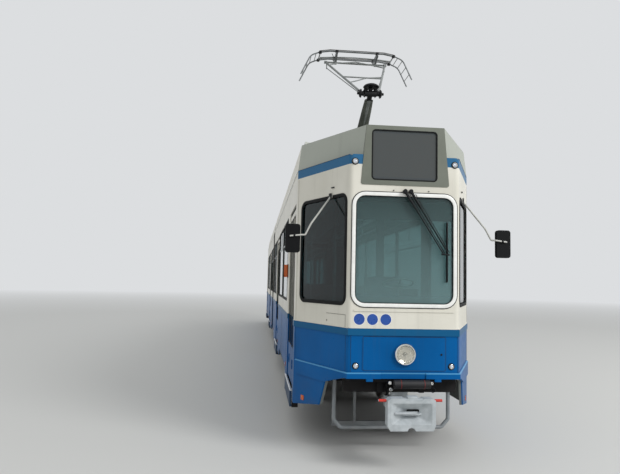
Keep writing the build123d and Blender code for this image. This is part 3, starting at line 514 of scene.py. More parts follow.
@dataclass(frozen=True)
class Moquette:
    """Woven wool moquette: short pile in two blues with a small check."""

    name: str = "moquette"
    light: str = "#31527a"
    dark: str = "#26405f"
    shadow: str = "#141c28"
    check_mm: float = 28.0

    def build(self) -> Material:
        """Return the material."""
        shade = Shade(self.name)
        feeds = {"Vector": shade.place, "Scale": 1000 / self.check_mm,
                 "Color1": linear(self.dark), "Color2": linear(self.light)}
        check = add_node(shade.tree, "TexChecker", feeds).outputs["Color"]
        pile = shade.noise(2.5, 2)
        colour = shade.mix(shade.times(pile, 0.35), check, self.shadow)
        return shade.finish(Base_Color=colour, Roughness=0.95, Sheen_Weight=0.4,
                            Normal=shade.bump(pile, 1.0))


def past(axis: str, limit: float, below: bool = False) -> Callable[[Shade], Socket]:
    """Return a mask that is 1 where a coordinate lies past a limit."""
    return lambda shade: (shade.under if below else shade.over)(getattr(shade, axis), limit)


def tread_mask(shade: Shade) -> Socket:
    """Return 1 on the wheel treads and flanges, polished by the rail."""
    along, nearest = shade.size(shade.y), None
    bogie = HALF_LENGTH - BOGIE_STATIONS["front"]
    for centre in (HALF_WHEELBASE, *around(bogie, HALF_WHEELBASE)):
        reach = shade.size(shade.math("SUBTRACT", along, centre))
        nearest = reach if nearest is None else shade.math("MINIMUM", nearest, reach)
    rise = shade.math("SUBTRACT", shade.z, AXLE_HEIGHT + FLANGE_DEPTH)
    squares = [shade.math("POWER", value, 2.0) for value in (nearest, rise)]
    return shade.over(shade.math("ADD", *squares), TREAD_RADIUS ** 2)


def strip_mask(shade: Shade) -> Socket:
    """Return 1 on the upper side of the contact strips, which bend down at their ends."""
    bend = shade.math("MAXIMUM", shade.math("SUBTRACT", shade.across, STRIP_BEND_X), 0.0)
    return shade.over(shade.math("MULTIPLY_ADD", bend, STRIP_SLOPE, shade.z), STRIP_Z)


def knee_mask(shade: Shade) -> Socket:
    """Return 1 on the greased knee between the two arms."""
    return shade.under(shade.size(shade.math("SUBTRACT", shade.z, KNEE_Z)), KNEE_REACH)


FINISHES = {
    # Enamels sprayed or brushed over steel: even colour, soft gloss, film of dust low down
    "body": CoachEnamel(),
    "end_body": CoachEnamel("end_enamel", striped=True),
    "door": CoachEnamel("door_enamel", pane_x=-1.0675),
    "roof": RoofEnamel("roof_enamel", "#8b9089", "#797e77", 0.55, patch_mm=900, relief_mm=0.4),
    "roof_trim": Finish("roof_trim_enamel", "#8b9089", "#797e77", patch_mm=500),
    # Destination boxes: the grey is darkened below the roof's grey, painted shade
    "box": Finish("box_enamel_painted_shade", "#6f7368", "#666a5f", 0.42, patch_mm=300, relief_mm=0.08),
    "underframe": Finish("underframe_paint", "#151517", "#101012", 0.75, dust=0.18, gloss=0.2),
    "guard": Finish("painted_tube", "#8e9498", "#7d8387", 0.42, dust=0.35),
    "white_frame": Finish("white_frame_enamel", "#f0f0ec", "#e6e6e2", 0.28, relief_mm=0.04),
    "strap": Finish("dull_red_webbing", "#7d2320", "#6b1e1c", 0.7, grain_mm=1.5),
    "handle_red": Finish("red_enamel", "#c9301f", "#b42a1b", 0.4, relief_mm=0.05),
    "panto": Finish("weathered_tube_enamel", "#8f9290", "#767a79", 0.5, 0.2, relief_mm=0.3),
    "panto_arm": Finish("arm_enamel", "#8f9290", "#767a79", 0.5, 0.2, relief_mm=0.3,
                        other="#1b1c1e", other_roughness=0.55, mask=knee_mask, gloss=0.3),
    # Lower arm's sleeve: darker than the other arm enamel, painted shade
    "arm_sleeve": Finish("sleeve_enamel_painted_shade", "#5f625b", "#4c4f49", 0.6, relief_mm=0.3),
    "panto_base": Finish("base_enamel", "#6f7474", "#5c6161", relief_mm=0.3,
                         other="#6d3f2c", other_roughness=0.2, mask=past("z", INSULATOR_Z, True)),
    "mirror": Finish("mirror_assembly", "#c4c4be", "#b3b3ad", 0.35, relief_mm=0.05,
                     other="#0e0f11", other_roughness=0.6, mask=past("across", MIRROR_ARM_X),
                     gloss=0.15),
    # Castings and rolled steel: coarse skin under paint or grease, brushed bright where rubbed
    "bogie": Finish("dusty_cast_steel", "#2b2825", "#1f1d1a", 0.75, 0.3, dust=0.4, relief_mm=0.8,
                    gloss=0.25),
    "wheel": Finish("rolled_wheel_steel", "#3c332c", "#2c2621", 0.6, 0.85, dust=0.25,
                    other="#a4a3a0", other_roughness=0.28, mask=tread_mask),
    "coupler": Finish("painted_casting", "#b7bdc0", "#a3aaad", 0.48, patch_mm=70, relief_mm=0.6,
                      dust=0.15, other="#141519", other_roughness=0.6, mask=past("z", COVER_Z)),
    "panto_head": Finish("head_enamel", "#7f8283", "#6a6d6e", 0.45, 0.5, relief_mm=0.2,
                         other="#3a322c", mask=strip_mask),
    "spring": Finish("spring_steel", "#2a2a2c", "#201f20", 0.5, 0.6, dust=0.6),
    # Plated, polished or brushed metal: sharp bright bands
    "chrome": Finish("chromed_brass", "#e6e6e4", "#d9d9d6", 0.12, 1.0, relief_mm=0.02),
    "reflector": Finish("silvered_reflector", "#eceae4", "#dedcd4", 0.30, 1.0, relief_mm=0.02),
    "mirror_arm": Finish("mirror_arm_enamel", "#c4c4be", "#b3b3ad", 0.35, relief_mm=0.05),
    "mirror_glass": Finish("mirror_glass", "#d5dadb", "#cfd4d5", 0.05, 1.0, relief_mm=0.01),
    "pole": Finish("brushed_stainless", "#c3c5c4", "#b0b2b1", 0.3, 1.0, relief_mm=0.03),
    # The step plate is dark below its bright nosing
    "step": Finish("step_plate_dark_below_nosing", "#1f3f5e", "#1b354f", relief_mm=0.1,
                   other="#d4d6d6", other_roughness=0.32, mask=past("z", NOSING_Z)),
    "aluminium": Finish("anodised_aluminium", "#b9bdbe", "#a9adae", 0.35, 0.9, relief_mm=0.05),
    # Rubber, plastic and coated cloth: matt, fine grain, greyed edges
    "rubber": Finish("window_rubber", "#0f1011", "#161718", 0.6, grain_mm=2, relief_mm=0.08,
                     gloss=0.15),
    "black_plastic": Finish("textured_polyamide", "#121315", "#18191b", 0.45, grain_mm=1.5,
                            gloss=0.2),
    "seam": Finish("sealing_strip", "#0a2c48", "#08263e", 0.6, relief_mm=0.02),
    "cream_seam": Finish("cream_joint_shadow", "#6d6a60", "#605d54", 0.6, relief_mm=0.02),
    "disc_blue": Finish("blue_vinyl", "#1c4d9f", "#194795", 0.3, relief_mm=0.02),
    "gaiter": Finish("coated_fabric", "#1d1e20", "#26272a", 0.75, grain_mm=3, relief_mm=0.3,
                     dust=0.4, gloss=0.25),
    "interior": Finish("melamine_laminate", "#4c5252", "#444a4a", grain_mm=1.5,
                       other="#a9afac", other_roughness=0.45, mask=past("y", DESK_Y, True)),
    "seat_shell": Finish("moulded_seat_shell", "#5b6470", "#525a66", grain_mm=1.5),
    "diffuser": Finish("opal_acrylic", "#e3e4df", "#dadbd6", 0.35, relief_mm=0.02),
    "wheel_rim": Finish("ivory_bakelite", "#cfd2bd", "#c3c6b1", 0.25, relief_mm=0.02),
    # Woven, printed and pressed
    "moquette": Moquette(),
    "display": DotMatrix(),
    "glass": TintedGlass(),
    "headlamp": LampGlass("headlamp_glass", "#f6f5f0", 13.0, 0.97, 0.06),
    "marker": LampGlass("marker_glass", "#e6ecf6", 4.0, 0.25),
    "amber": LampGlass("amber_glass", "#ee6a16", 4.0, 0.35),
    "red": LampGlass("red_glass", "#a5171a", 4.0),
}

_made: dict[str, Material] = {}


def finish(name: str) -> Material:
    """Return the material of a named finish, built once."""
    if name not in _made:
        _made[name] = FINISHES[name].build()
    return _made[name]


@dataclass(frozen=True)
class Seat:
    """Where a flat piece lies: its centre, the way its width runs and the way it faces."""

    centre: Vector
    across: Vector
    out: Vector

    def matrix(self) -> Matrix:
        """Return the matrix that takes a piece from the bench to its seat."""
        z = self.out.normalized()
        x = self.across.normalized()
        turn = Matrix((x, z.cross(x), z)).transposed().to_4x4()
        return Matrix.Translation(self.centre) @ turn


class Bench:
    """Operator modelling of single pieces, which are then moved to their seats."""

    def clear(self) -> None:
        """Deselect every object."""
        bpy.ops.object.select_all(action="DESELECT")

    def take(self, piece: Piece) -> None:
        """Select one piece alone and make it active."""
        self.clear()
        piece.select_set(True)
        bpy.context.view_layer.objects.active = piece

    @contextmanager
    def editing(self) -> Iterator[None]:
        """Hold the active piece in edit mode, all selected at first."""
        bpy.ops.object.mode_set(mode="EDIT")
        bpy.ops.mesh.select_all(action="SELECT")
        yield
        bpy.ops.object.mode_set(mode="OBJECT")

    def settle(self, piece: Piece, matrix: Matrix | None = None) -> Piece:
        """Move a piece by a matrix and leave its object at the origin."""
        self.take(piece)
        if matrix is not None:
            piece.matrix_world = matrix @ piece.matrix_world
        bpy.ops.object.transform_apply(location=True, rotation=True, scale=True)
        return piece

    def soften(self, piece: Piece, width: float, segments: int = 2, angle: float = 35) -> Piece:
        """Round the sharp edges of a piece."""
        self.take(piece)
        bevel = piece.modifiers.new("soften", "BEVEL")
        bevel.width = width
        bevel.segments = segments
        bevel.limit_method = "ANGLE"
        bevel.angle_limit = math.radians(angle)
        bpy.ops.object.modifier_apply(modifier=bevel.name)
        bpy.ops.object.shade_smooth_by_angle(angle=math.radians(angle))
        return piece

    def thicken(self, thickness: float) -> None:
        """Extrude the flat faces in edit mode to a thickness."""
        bpy.ops.mesh.select_all(action="SELECT")
        bpy.ops.mesh.extrude_region_move(TRANSFORM_OT_translate={"value": (0, 0, thickness)})
        bpy.ops.mesh.select_all(action="SELECT")
        bpy.ops.mesh.normals_make_consistent(inside=False)

    def plate(self, seat: Seat, width: float, height: float, radius: float, thickness: float,
              soft: float = 0.0, border: float = 0.0) -> Piece:
        """Return a plate or a frame with rounded corners, lying on its seat.

        Args:
            seat: where it lies.
            width: outer width.
            height: outer height.
            radius: outer corner radius.
            thickness: how far it stands out.
            soft: radius of its edges.
            border: width of a frame's band, or 0 for a plate.

        Returns:
            The plate or frame.
        """
        self.clear()
        bpy.ops.mesh.primitive_plane_add(size=1)
        plate = bpy.context.object
        plate.scale = (width, height, 1)
        bpy.ops.object.transform_apply(scale=True)
        with self.editing():
            if radius:
                bpy.ops.mesh.bevel(offset=radius, segments=6, affect="VERTICES")
            if border:
                bpy.ops.mesh.inset(thickness=border)
                bpy.ops.mesh.delete(type="FACE")
            self.thicken(thickness)
        if soft:
            self.soften(plate, soft)
        return self.settle(plate, seat.matrix())

    def bar(self, start: Vector, end: Vector, radius: float, soft: float = 0.0, sides: int = 16,
            end_radius: float | None = None) -> Piece:
        """Return a round or tapered bar between two points."""
        self.clear()
        run = end - start
        bpy.ops.mesh.primitive_cone_add(
            vertices=sides, radius1=radius, radius2=radius if end_radius is None else end_radius,
            depth=run.length, location=(start + end) / 2,
            rotation=run.to_track_quat("Z", "Y").to_euler())
        return self.soften(self.settle(bpy.context.object), soft or radius * 0.12, 1)

    def tube(self, points: Sequence[Vector], radius: float, sides: int = 10) -> Piece:
        """Return bars joined end to end with round knuckles."""
        parts = [self.bar(a, b, radius, sides=sides) for a, b in zip(points, points[1:])]
        for point in points[1:-1]:
            self.clear()
            bpy.ops.mesh.primitive_uv_sphere_add(segments=sides, ring_count=6, radius=radius,
                                                 location=point)
            bpy.ops.object.shade_smooth()
            parts.append(self.settle(bpy.context.object))
        return self.join(parts)

    def dome(self, seat: Seat, radius: float, rise: float, sides: int = 32) -> Piece:
        """Return a shallow closed dome on its seat."""
        self.clear()
        bpy.ops.mesh.primitive_uv_sphere_add(segments=sides, ring_count=16, radius=radius)
        dome = bpy.context.object
        with self.editing():
            bpy.ops.mesh.bisect(plane_co=(0, 0, 0), plane_no=(0, 0, 1), clear_inner=True,
                                use_fill=True)
        dome.scale = (1, 1, rise / radius)
        bpy.ops.object.shade_smooth_by_angle(angle=math.radians(40))
        return self.settle(dome, seat.matrix())

    def loop(self, points: Sequence[Sequence[float]], fill: str = "NOTHING") -> Piece:
        """Return a closed loop through some points, begun as a circle and pulled to shape."""
        self.clear()
        bpy.ops.mesh.primitive_circle_add(vertices=len(points), fill_type=fill)
        piece = bpy.context.object
        for vertex, point in zip(piece.data.vertices, points):
            vertex.co = point
        return piece

    def close(self, piece: Piece, angle: float, merge: float = 0.00005) -> Piece:
        """Merge a piece's doubles, turn its faces outwards and shade it."""
        self.take(piece)
        with self.editing():
            bpy.ops.mesh.remove_doubles(threshold=merge)
            bpy.ops.mesh.normals_make_consistent(inside=False)
        bpy.ops.object.shade_smooth_by_angle(angle=math.radians(angle))
        return piece

    def lathe(self, seat: Seat, profile: Sequence[Pair], steps: int = 40) -> Piece:
        """Return a turned piece, from a closed profile of radius and height rows."""
        piece = self.loop([(r, 0, h) for r, h in profile])
        with self.editing():
            bpy.ops.mesh.spin(steps=steps, angle=math.tau, center=(0, 0, 0), axis=(0, 0, 1))
        return self.settle(self.close(piece, 30), seat.matrix())

    def prism(self, plan: Sequence[Vector], rise: float, soft: float) -> Piece:
        """Return an upright block with rounded edges, from its level foot."""
        piece = self.loop(plan, "NGON")
        with self.editing():
            self.thicken(rise)
        return self.soften(piece, soft)

    def torus(self, seat: Seat, radius: float, wire: float) -> Piece:
        """Return a round hoop with a slightly flattened section."""
        self.clear()
        bpy.ops.mesh.primitive_torus_add(major_radius=radius, minor_radius=wire,
                                         major_segments=48, minor_segments=10)
        hoop = bpy.context.object
        hoop.scale = (1, 1, 0.85)
        bpy.ops.object.shade_smooth()
        return self.settle(hoop, seat.matrix() @ hoop.matrix_world)

    def coil(self, seat: Seat, radius: float, wire: float, height: float, turns: int) -> Piece:
        """Return a coil spring that stands on its seat."""
        self.clear()
        bpy.ops.mesh.primitive_circle_add(vertices=8, radius=wire, location=(radius, 0, wire),
                                          rotation=(math.pi / 2, 0, 0), fill_type="NGON")
        spring = bpy.context.object
        bpy.ops.object.transform_apply(location=True, rotation=True)
        screw = spring.modifiers.new("coil", "SCREW")
        screw.screw_offset = (height - 2 * wire) / turns
        screw.iterations = turns
        screw.steps = screw.render_steps = 14
        screw.use_merge_vertices = False
        bpy.ops.object.modifier_apply(modifier=screw.name)
        return self.settle(self.close(spring, 50, 0.0001), seat.matrix())

    def block(self, low: Vector, high: Vector, soft: float) -> Piece:
        """Return a block with rounded edges between two opposite corners."""
        self.clear()
        bpy.ops.mesh.primitive_cube_add(size=1, location=(low + high) / 2)
        piece = bpy.context.object
        piece.scale = [abs(s) for s in high - low]
        return self.soften(self.settle(piece), soft)

    def join(self, parts: Sequence[Piece]) -> Piece:
        """Return several pieces as one mesh."""
        self.take(parts[0])
        for part in parts:
            part.select_set(True)
        if len(parts) > 1:
            bpy.ops.object.join()
        return self.settle(bpy.context.object)

    def dress(self, parts: Sequence[Piece], name: str, look: str, body: str, slot: str) -> Piece:
        """Join parts, give them their name and finish and let them ride on a body.

        Args:
            parts: one piece or several.
            name: the piece's name in the scene.
            look: the name of its finish.
            body: the body that it rides on.
            slot: the record's material slot that it belongs to; not used.

        Returns:
            The finished piece.
        """
        piece = self.join(parts)
        piece.name = name
        piece.data.materials.clear()
        piece.data.materials.append(finish(look))
        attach(piece, body)
        LOG.info("%s: %d faces on %s", name, len(piece.data.polygons), body)
        return piece


BENCH = Bench()


class Section(Enum):
    """One of the tram's two car bodies; stations are given as in the front section."""

    FRONT = "car_a"
    REAR = "car_b"

    @property
    def facing(self) -> int:
        """Return 1 where stations run as in the front section, and -1 where they are mirrored."""
        return 1 if self is Section.FRONT else -1

    @property
    def end(self) -> str:
        """Return the start of a name for a piece at this section's end."""
        return "front_" if self is Section.FRONT else "rear_"

    def at(self, x: float, station: float, height: float) -> Vector:
        """Return a point of this section."""
        return at(x, station if self is Section.FRONT else 2 * HALF_LENGTH - station, height)

    def end_seat(self, x: float, height: float, out: float) -> Seat:
        """Return a seat on the end face, standing out by out."""
        return Seat(self.at(x, -out, height), AXIS_X * self.facing, AXIS_Y * -self.facing)

    def side_seat(self, side: int, station: float, height: float, x: float) -> Seat:
        """Return a seat on a side wall, at distance x from the centre line."""
        return Seat(self.at(side * x, station, height), AXIS_Y * side, AXIS_X * side)

    def taper_seat(self, side: int, along: float, height: float, out: float) -> Seat:
        """Return a seat on a tapered panel, at a distance along it from the front corner."""
        share = along / TAPER_LENGTH
        run = BODY_HALF - NOSE_HALF
        normal = Vector((side * NOSE_DEPTH, -self.facing * run, 0)).normalized()
        corner = self.at(side * (NOSE_HALF + run * share), NOSE_DEPTH * share, height)
        return Seat(corner + normal * out, Vector((-normal.y, normal.x, 0)), normal)

    def block(self, xs: Pair, stations: Pair, heights: Pair, soft: float) -> Piece:
        """Return a block with rounded edges that fills three spans."""
        (x0, x1), (y0, y1), (z0, z1) = xs, stations, heights
        return BENCH.block(self.at(x0, y0, z0), self.at(x1, y1, z1), soft)

    def bar(self, start: Row, end: Row, radius: float, soft: float = 0.0) -> Piece:
        """Return a round bar between two places of x, station and height."""
        return BENCH.bar(self.at(*start), self.at(*end), radius, soft)

    def tube(self, places: Sequence[Row], radius: float, sides: int = 10) -> Piece:
        """Return a bent tube through places of x, station and height."""
        return BENCH.tube([self.at(*place) for place in places], radius, sides)

    def prism(self, plan: Sequence[Pair], heights: Pair, soft: float) -> Piece:
        """Return an upright block on a plan of x and station rows."""
        low, high = heights
        return BENCH.prism([self.at(x, y, low) for x, y in plan], high - low, soft)

    def dress(self, parts: Sequence[Piece], name: str, look: str, slot: str) -> Piece:
        """Dress a piece of this section."""
        return BENCH.dress(parts, name, look, self.value, slot)

    def dress_own(self, parts: Sequence[Piece], name: str, look: str, slot: str) -> Piece:
        """Dress a piece that each section has, named after its section."""
        return self.dress(parts, f"{name}_{self.value}", look, slot)


FRONT, REAR = Section


def skin(side: int, near: float, far: float) -> Pair:
    """Return a span of x across a side wall's outer face."""
    return side * (BODY_HALF + near), side * (BODY_HALF + far)


def grown(radius: float, profile: Sequence[Pair]) -> list[Pair]:
    """Return a turned profile whose radii are counted from a radius."""
    return [(radius + reach, height) for reach, height in profile]


@dataclass
class Frame:
    """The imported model's own pieces and the finishes that they get."""

    # Each row: finish, starts of the nodes' names
    looks: tuple[tuple[str, tuple[str, ...]], ...] = (
        ("underframe", ("underframe",)), ("body", ("door_wall", "closed_wall")),
        ("roof", ("roof",)), ("end_body", ("cab_shell", "rear_shell")), ("glass", ("glass",)),
        ("box", ("destination_box", "rear_destination_box")), ("guard", ("under_run_guard",)),
        ("chrome", ("front_lamps", "rear_lamps")), ("coupler", ("front_coupler", "rear_coupler")),
        ("mirror", ("mirrors",)), ("interior", ("cab_interior",)), ("seat_shell", ("seats",)),
        ("pole", ("handrails",)), ("gaiter", ("bellows",)), ("panto_base", ("pantograph_base",)),
        ("panto_head", ("pantograph_head",)), ("panto_arm", ("pantograph",)),
        ("bogie", ("bogie_frame",)), ("wheel", ("wheelset",)), ("door", ("door_",)),
        ("step", ("step_",)),
    )

    def dress(self, nodes: dict[str, Piece]) -> None:
        """Give each node the finish that its name asks for."""
        for name, piece in nodes.items():
            look = next(look for look, starts in self.looks if name.startswith(starts))
            for slot in piece.material_slots:
                slot.material = finish(look)
            if not piece.material_slots:
                piece.data.materials.append(finish(look))
            LOG.info("%s dressed as %s", name, look)


@dataclass
class TaperedEnd:
    """Seals, frames and joint lines on one tapered end of the body."""

    section: Section
    ring_half: float = 0.580
    ring_heights: Pair = (1.620, 2.860)
    ring_radius: float = 0.142
    ring_border: float = 0.040
    window_along: Pair = (0.052, 1.063)
    window_heights: Pair = (1.627, 2.858)
    # Each row of the lines below: distance along the panel, height, width, rise, radius, thickness
    blue_lines: Rows = (
        (0.050, 1.126, 0.0035, 0.382, 0, 0.0015), (1.145, 1.126, 0.0035, 0.382, 0, 0.0015),
        (0.600, EAVES - 0.001, 1.140, 0.004, 0, 0.0018))
    cream_lines: Rows = ((1.145, 2.275, 0.003, 1.74, 0, 0.001),)
    flap_lines: Rows = (
        (0.250, 1.530, 0.384, 0.0045, 0, 0.0018), (0.060, 1.464, 0.0045, 0.132, 0, 0.0018),
        (0.430, 1.450, 0.012, 0.018, 0.003, 0.003))
    # Each row: x and station of a ledge's corner
    ledge: Plan = ((0.472, 0.004), (0.599, 0.003), (1.094, 1.060), (1.000, 1.062))

    def screen_ring(self, grow: float, out: float, thickness: float, soft: float,
                    border: float) -> Piece:
        """Return a ring round the windscreen, grown from the white frame's outer edge."""
        low, high = self.ring_heights
        seat = self.section.end_seat(0, (low + high) / 2, out)
        return BENCH.plate(seat, 2 * (self.ring_half + grow), high - low + 2 * grow,
                           self.ring_radius + grow, thickness, soft, border)

    def seals(self) -> None:
        """Build the windscreen's frame and all rubber seals."""
        section = self.section
        frame = self.screen_ring(0, 0.0005, 0.011, 0.0045, self.ring_border)
        look = "white_frame" if section is FRONT else "rubber"
        section.dress([frame], section.end + "windscreen_frame", look, "glass")
        parts = [self.screen_ring(0.009, 0.0004, 0.005, 0.002, 0.011),
                 self.screen_ring(0.001 - self.ring_border, -0.004, 0.010, 0.003, 0.009)]
        (near, far), (low, high) = self.window_along, self.window_heights
        for side in SIDES:
            seat = section.taper_seat(side, (near + far) / 2, (low + high) / 2, -0.004)
            parts.append(BENCH.plate(seat, far - near, high - low, 0.108, 0.012, 0.004, 0.040))
        section.dress(parts, section.end + "window_rubber", "rubber", "glass")

    def lines(self, side: int, rows: Sequence[Row]) -> list[Piece]:
        """Return thin plates on a tapered panel."""
        return [BENCH.plate(self.section.taper_seat(side, along, height, LAID), *shape)
                for along, height, *shape in rows]

    def joints(self) -> None:
        """Build the thin lines where panels and flaps meet, and the ledges beside the box."""
        section, blue, cream, ledges = self.section, [], [], []
        if section is FRONT:
            hatch = FRONT.end_seat(0.0075, 1.131, 0.0035)
            blue.append(BENCH.plate(hatch, 0.903, 0.360, 0.022, 0.0018, border=0.0035))
            cream += self.lines(-1, self.flap_lines)
        for x in (-0.574, 0.594 if section is FRONT else 0.574):
            blue.append(section.block(around(x, 0.0018), (-0.0015, 0.001), (0.935, 1.319), 0.0004))
        for side in SIDES:
            blue += self.lines(side, self.blue_lines)
            cream += self.lines(side, self.cream_lines)
            ledges.append(section.prism([(side * x, station) for x, station in self.ledge],
                                        (EAVES - 0.010, EAVES + 0.0005), 0.001))
        section.dress(blue, section.end + "blue_joints", "seam", "body_paint")
        section.dress(cream, section.end + "cream_joints", "cream_seam", "body_paint")
        section.dress(ledges, section.end + "roof_ledges", "roof_trim", "roof_paint")

    def build(self) -> None:
        """Build the end's trim."""
        self.seals()
        self.joints()


@dataclass
class FrontFittings:
    """Lamps, discs, wipers and small fittings of the driver's end."""

    lamp_height: float = 1.126
    lamp_x: float = 0.010
    lamp_radius: float = 0.117
    # Each row: x, height, radius of the seal, radius of the lens
    marker_rows: Rows = (
        (-0.520, 1.000, 0.036, 0.022), (0.520, 1.000, 0.036, 0.022),
        (-0.556, 3.190, 0.039, 0.025), (0.556, 3.190, 0.039, 0.025))
    disc_height: float = 1.489
    disc_radius: float = 0.064
    disc_thickness: float = 0.0007
    disc_xs: Row = (-0.487, -0.344, -0.200)
    wiper_xs: Row = (-0.010, 0.054)
    wiper_height: float = 2.873
    wiper_joint: Pair = (0.420, 2.201)
    wiper_station: float = -0.040
    wiper_sleeve: float = 0.28
    wiper_stops: Pair = (-0.128, 0.262)
    blade_x: float = 0.463
    blade_heights: Pair = (1.899, 2.552)
    lock: Pair = (0.410, 1.125)
    # Distance along the tapered panel, height and distance out of a mirror's pad and foot
    mirror_pad: Row = (0.375, 2.850, 0.014)
    mirror_foot: Row = (0.345, 2.944, 0.0005)
    tab_xs: Pair = (-0.370, 0.370)
    mirror_x: float = 1.202
    clamp_x: float = 1.186
    display: Pair = (-0.0085, 3.2735)

    def headlamp(self) -> None:
        """Build the headlamp: thick turned bezel, deep bowl, bulb and pressed lens."""
        r, x, z = self.lamp_radius, self.lamp_x, self.lamp_height
        seat, inner = FRONT.end_seat(x, z, 0.0043), FRONT.end_seat(x, z, 0.006)
        bezel = grown(r, ((0, 0), (0.001, 0.016), (-0.003, 0.030), (-0.010, 0.037),
                          (-0.018, 0.036), (-0.023, 0.029), (-0.023, 0.022), (-0.018, 0.020),
                          (-0.012, 0.004), (-0.008, 0)))
        FRONT.dress([BENCH.lathe(seat, bezel, 56)], "headlamp_bezel", "chrome", "lamp")
        bowl = [(0, 0.002), (0.030, 0.0025), (0.060, 0.007), (r - 0.030, 0.015),
                (r - 0.019, 0.024), (r - 0.019, 0.022), (r - 0.030, 0.0125), (0.060, 0.0045),
                (0.030, 0.0005), (0, 0)]
        FRONT.dress([BENCH.lathe(seat, bowl, 48)], "headlamp_bowl", "reflector", "lamp")
        collar = [(0.018, 0), (0.026, 0), (0.025, 0.006), (0.018, 0.006)]
        bulb = [BENCH.dome(inner, 0.017, 0.018, 24), BENCH.lathe(inner, collar, 28)]
        FRONT.dress(bulb, "headlamp_bulb", "diffuser", "lamp")
        glass = [(0, 0.033), (0.040, 0.0315), (0.070, 0.028), (r - 0.022, 0.0235),
                 (r - 0.022, 0.0265), (0.070, 0.031), (0.040, 0.0345), (0, 0.036)]
        lens = FRONT.dress([BENCH.lathe(seat, glass, 48)], "headlamp_lens", "headlamp", "lamp")
        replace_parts(lens, "front_lamps")

    def markers(self) -> None:
        """Build the two low and the two high marker lamps."""
        seals, rims, lenses = [], [], []
        for x, height, seal, lens in self.marker_rows:
            seat = FRONT.end_seat(x, height, LAID)
            seals.append(BENCH.lathe(seat, [(seal, 0), (seal - 0.001, 0.006)] + grown(
                lens, ((0.003, 0.010), (0, 0.009), (0, 0.002), (0.004, 0))), 28))
            rims.append(BENCH.lathe(seat, grown(lens, (
                (0.003, 0.002), (0.003, 0.013), (0, 0.015), (-0.003, 0.012), (-0.003, 0.002))), 28))
            lenses.append(BENCH.dome(FRONT.end_seat(x, height, 0.004), lens - 0.0025, 0.013, 20))
        FRONT.dress(seals, "marker_seals", "rubber", "lamp")
        FRONT.dress(rims, "marker_rims", "chrome", "lamp")
        FRONT.dress(lenses, "marker_lenses", "marker", "lamp")

    def discs(self) -> None:
        """Build the three blank round discs under the windscreen."""
        for name, look, radius, out in (
                ("disc_rims", "white_frame", self.disc_radius, 0.0004),
                ("blank_discs", "disc_blue", self.disc_radius - 0.005, 0.0011)):
            profile = [(0, 0), (radius, 0), (radius, self.disc_thickness),
                       (0, self.disc_thickness)]
            discs = [BENCH.lathe(FRONT.end_seat(x, self.disc_height, out), profile, 36)
                     for x in self.disc_xs]
            FRONT.dress(discs, name, look, "body_paint")

    def wipers(self) -> None:
        """Build the parallel-arm wiper: two sprung arms with thin rods, and the upright blade."""
        parts, z, blade, plane = [], self.wiper_height, self.blade_x, self.wiper_station
        joint_x, joint_z = self.wiper_joint
        for index, x in enumerate(self.wiper_xs):
            tip = at(joint_x + index * 0.050, plane, joint_z + index * 0.012)
            root = at(x, plane, z)
            run, aside = tip - root, Vector((0.024, -0.006, 0.010))
            sleeve = root + run * self.wiper_sleeve
            parts += [FRONT.bar((x, -0.0115, z), (x, -0.060, z), 0.024, 0.005),
                      BENCH.bar(root, sleeve, 0.0165, 0.003, end_radius=0.012),
                      BENCH.bar(sleeve, tip, 0.0085, end_radius=0.007),
                      BENCH.bar(root + run * 0.06 + aside, tip + aside * 0.6, 0.0038)]
        parts.append(FRONT.bar((joint_x - 0.025, plane, joint_z),
                               (blade + 0.022, plane, joint_z - 0.004), 0.0095))
        middle = sum(self.blade_heights) / 2
        for height in around(middle, 0.21):
            parts.append(FRONT.bar((blade, -0.036, middle), (blade, -0.026, height), 0.005))
        for half, stations, soft in ((0.008, (-0.034, -0.022), 0.003),
                                     (0.003, (-0.022, 0.009), 0.001)):
            parts.append(FRONT.block(around(blade, half), stations, self.blade_heights, soft))
        for x in self.wiper_stops:
            parts.append(FRONT.bar((x, 0, z + 0.012), (x, -0.012, z + 0.012), 0.006))
        FRONT.dress(parts, "wiper", "black_plastic", "mirror_case")

    def small(self) -> None:
        """Build the hatch lock, the mirror brackets, and the tabs under the valance."""
        x, z = self.lock
        parts = [FRONT.bar((x, -0.0045, z), (x, -0.010, z), 0.011, 0.002)]
        for side in SIDES:
            pad, foot = (FRONT.taper_seat(side, *place)
                         for place in (self.mirror_pad, self.mirror_foot))
            parts += [BENCH.plate(pad, 0.050, 0.062, 0.010, 0.012, 0.004),
                      BENCH.plate(foot, 0.060, 0.012, 0.004, 0.014, 0.003)]
        FRONT.dress(parts, "front_small_fittings", "black_plastic", "body_paint")
        tabs = [FRONT.block(around(x, 0.036), (-0.018, 0.020), (0.838, 0.872), 0.004)
                for x in self.tab_xs]
        FRONT.dress(tabs, "valance_tabs", "body", "body_paint")

    def mirrors(self) -> None:
        """Build the mirrors' glasses, which face rearwards, and the arms' ends across the heads."""
        glasses, ends, clamps = [], [], []
        for side in SIDES:
            seat = Seat(at(side * self.mirror_x, 0.2495, 2.3495), -AXIS_X, AXIS_Y)
            glasses.append(BENCH.plate(seat, 0.132, 0.283, 0.022, 0.003, 0.001))
            ends.append(FRONT.tube([(side * 1.072, 0.214, 2.3895), (side * 1.108, 0.189, 2.387),
                                    (side * 1.236, 0.189, 2.372)], 0.0090, 12))
            clamps.append(FRONT.block(around(side * self.clamp_x, 0.012), (0.1785, 0.1998),
                                      (2.364, 2.392), 0.004))
        FRONT.dress(glasses, "mirror_glasses", "mirror_glass", "mirror_case")
        FRONT.dress(ends, "mirror_arm_ends", "mirror_arm", "mirror_case")
        FRONT.dress(clamps, "mirror_clamps", "black_plastic", "mirror_case")

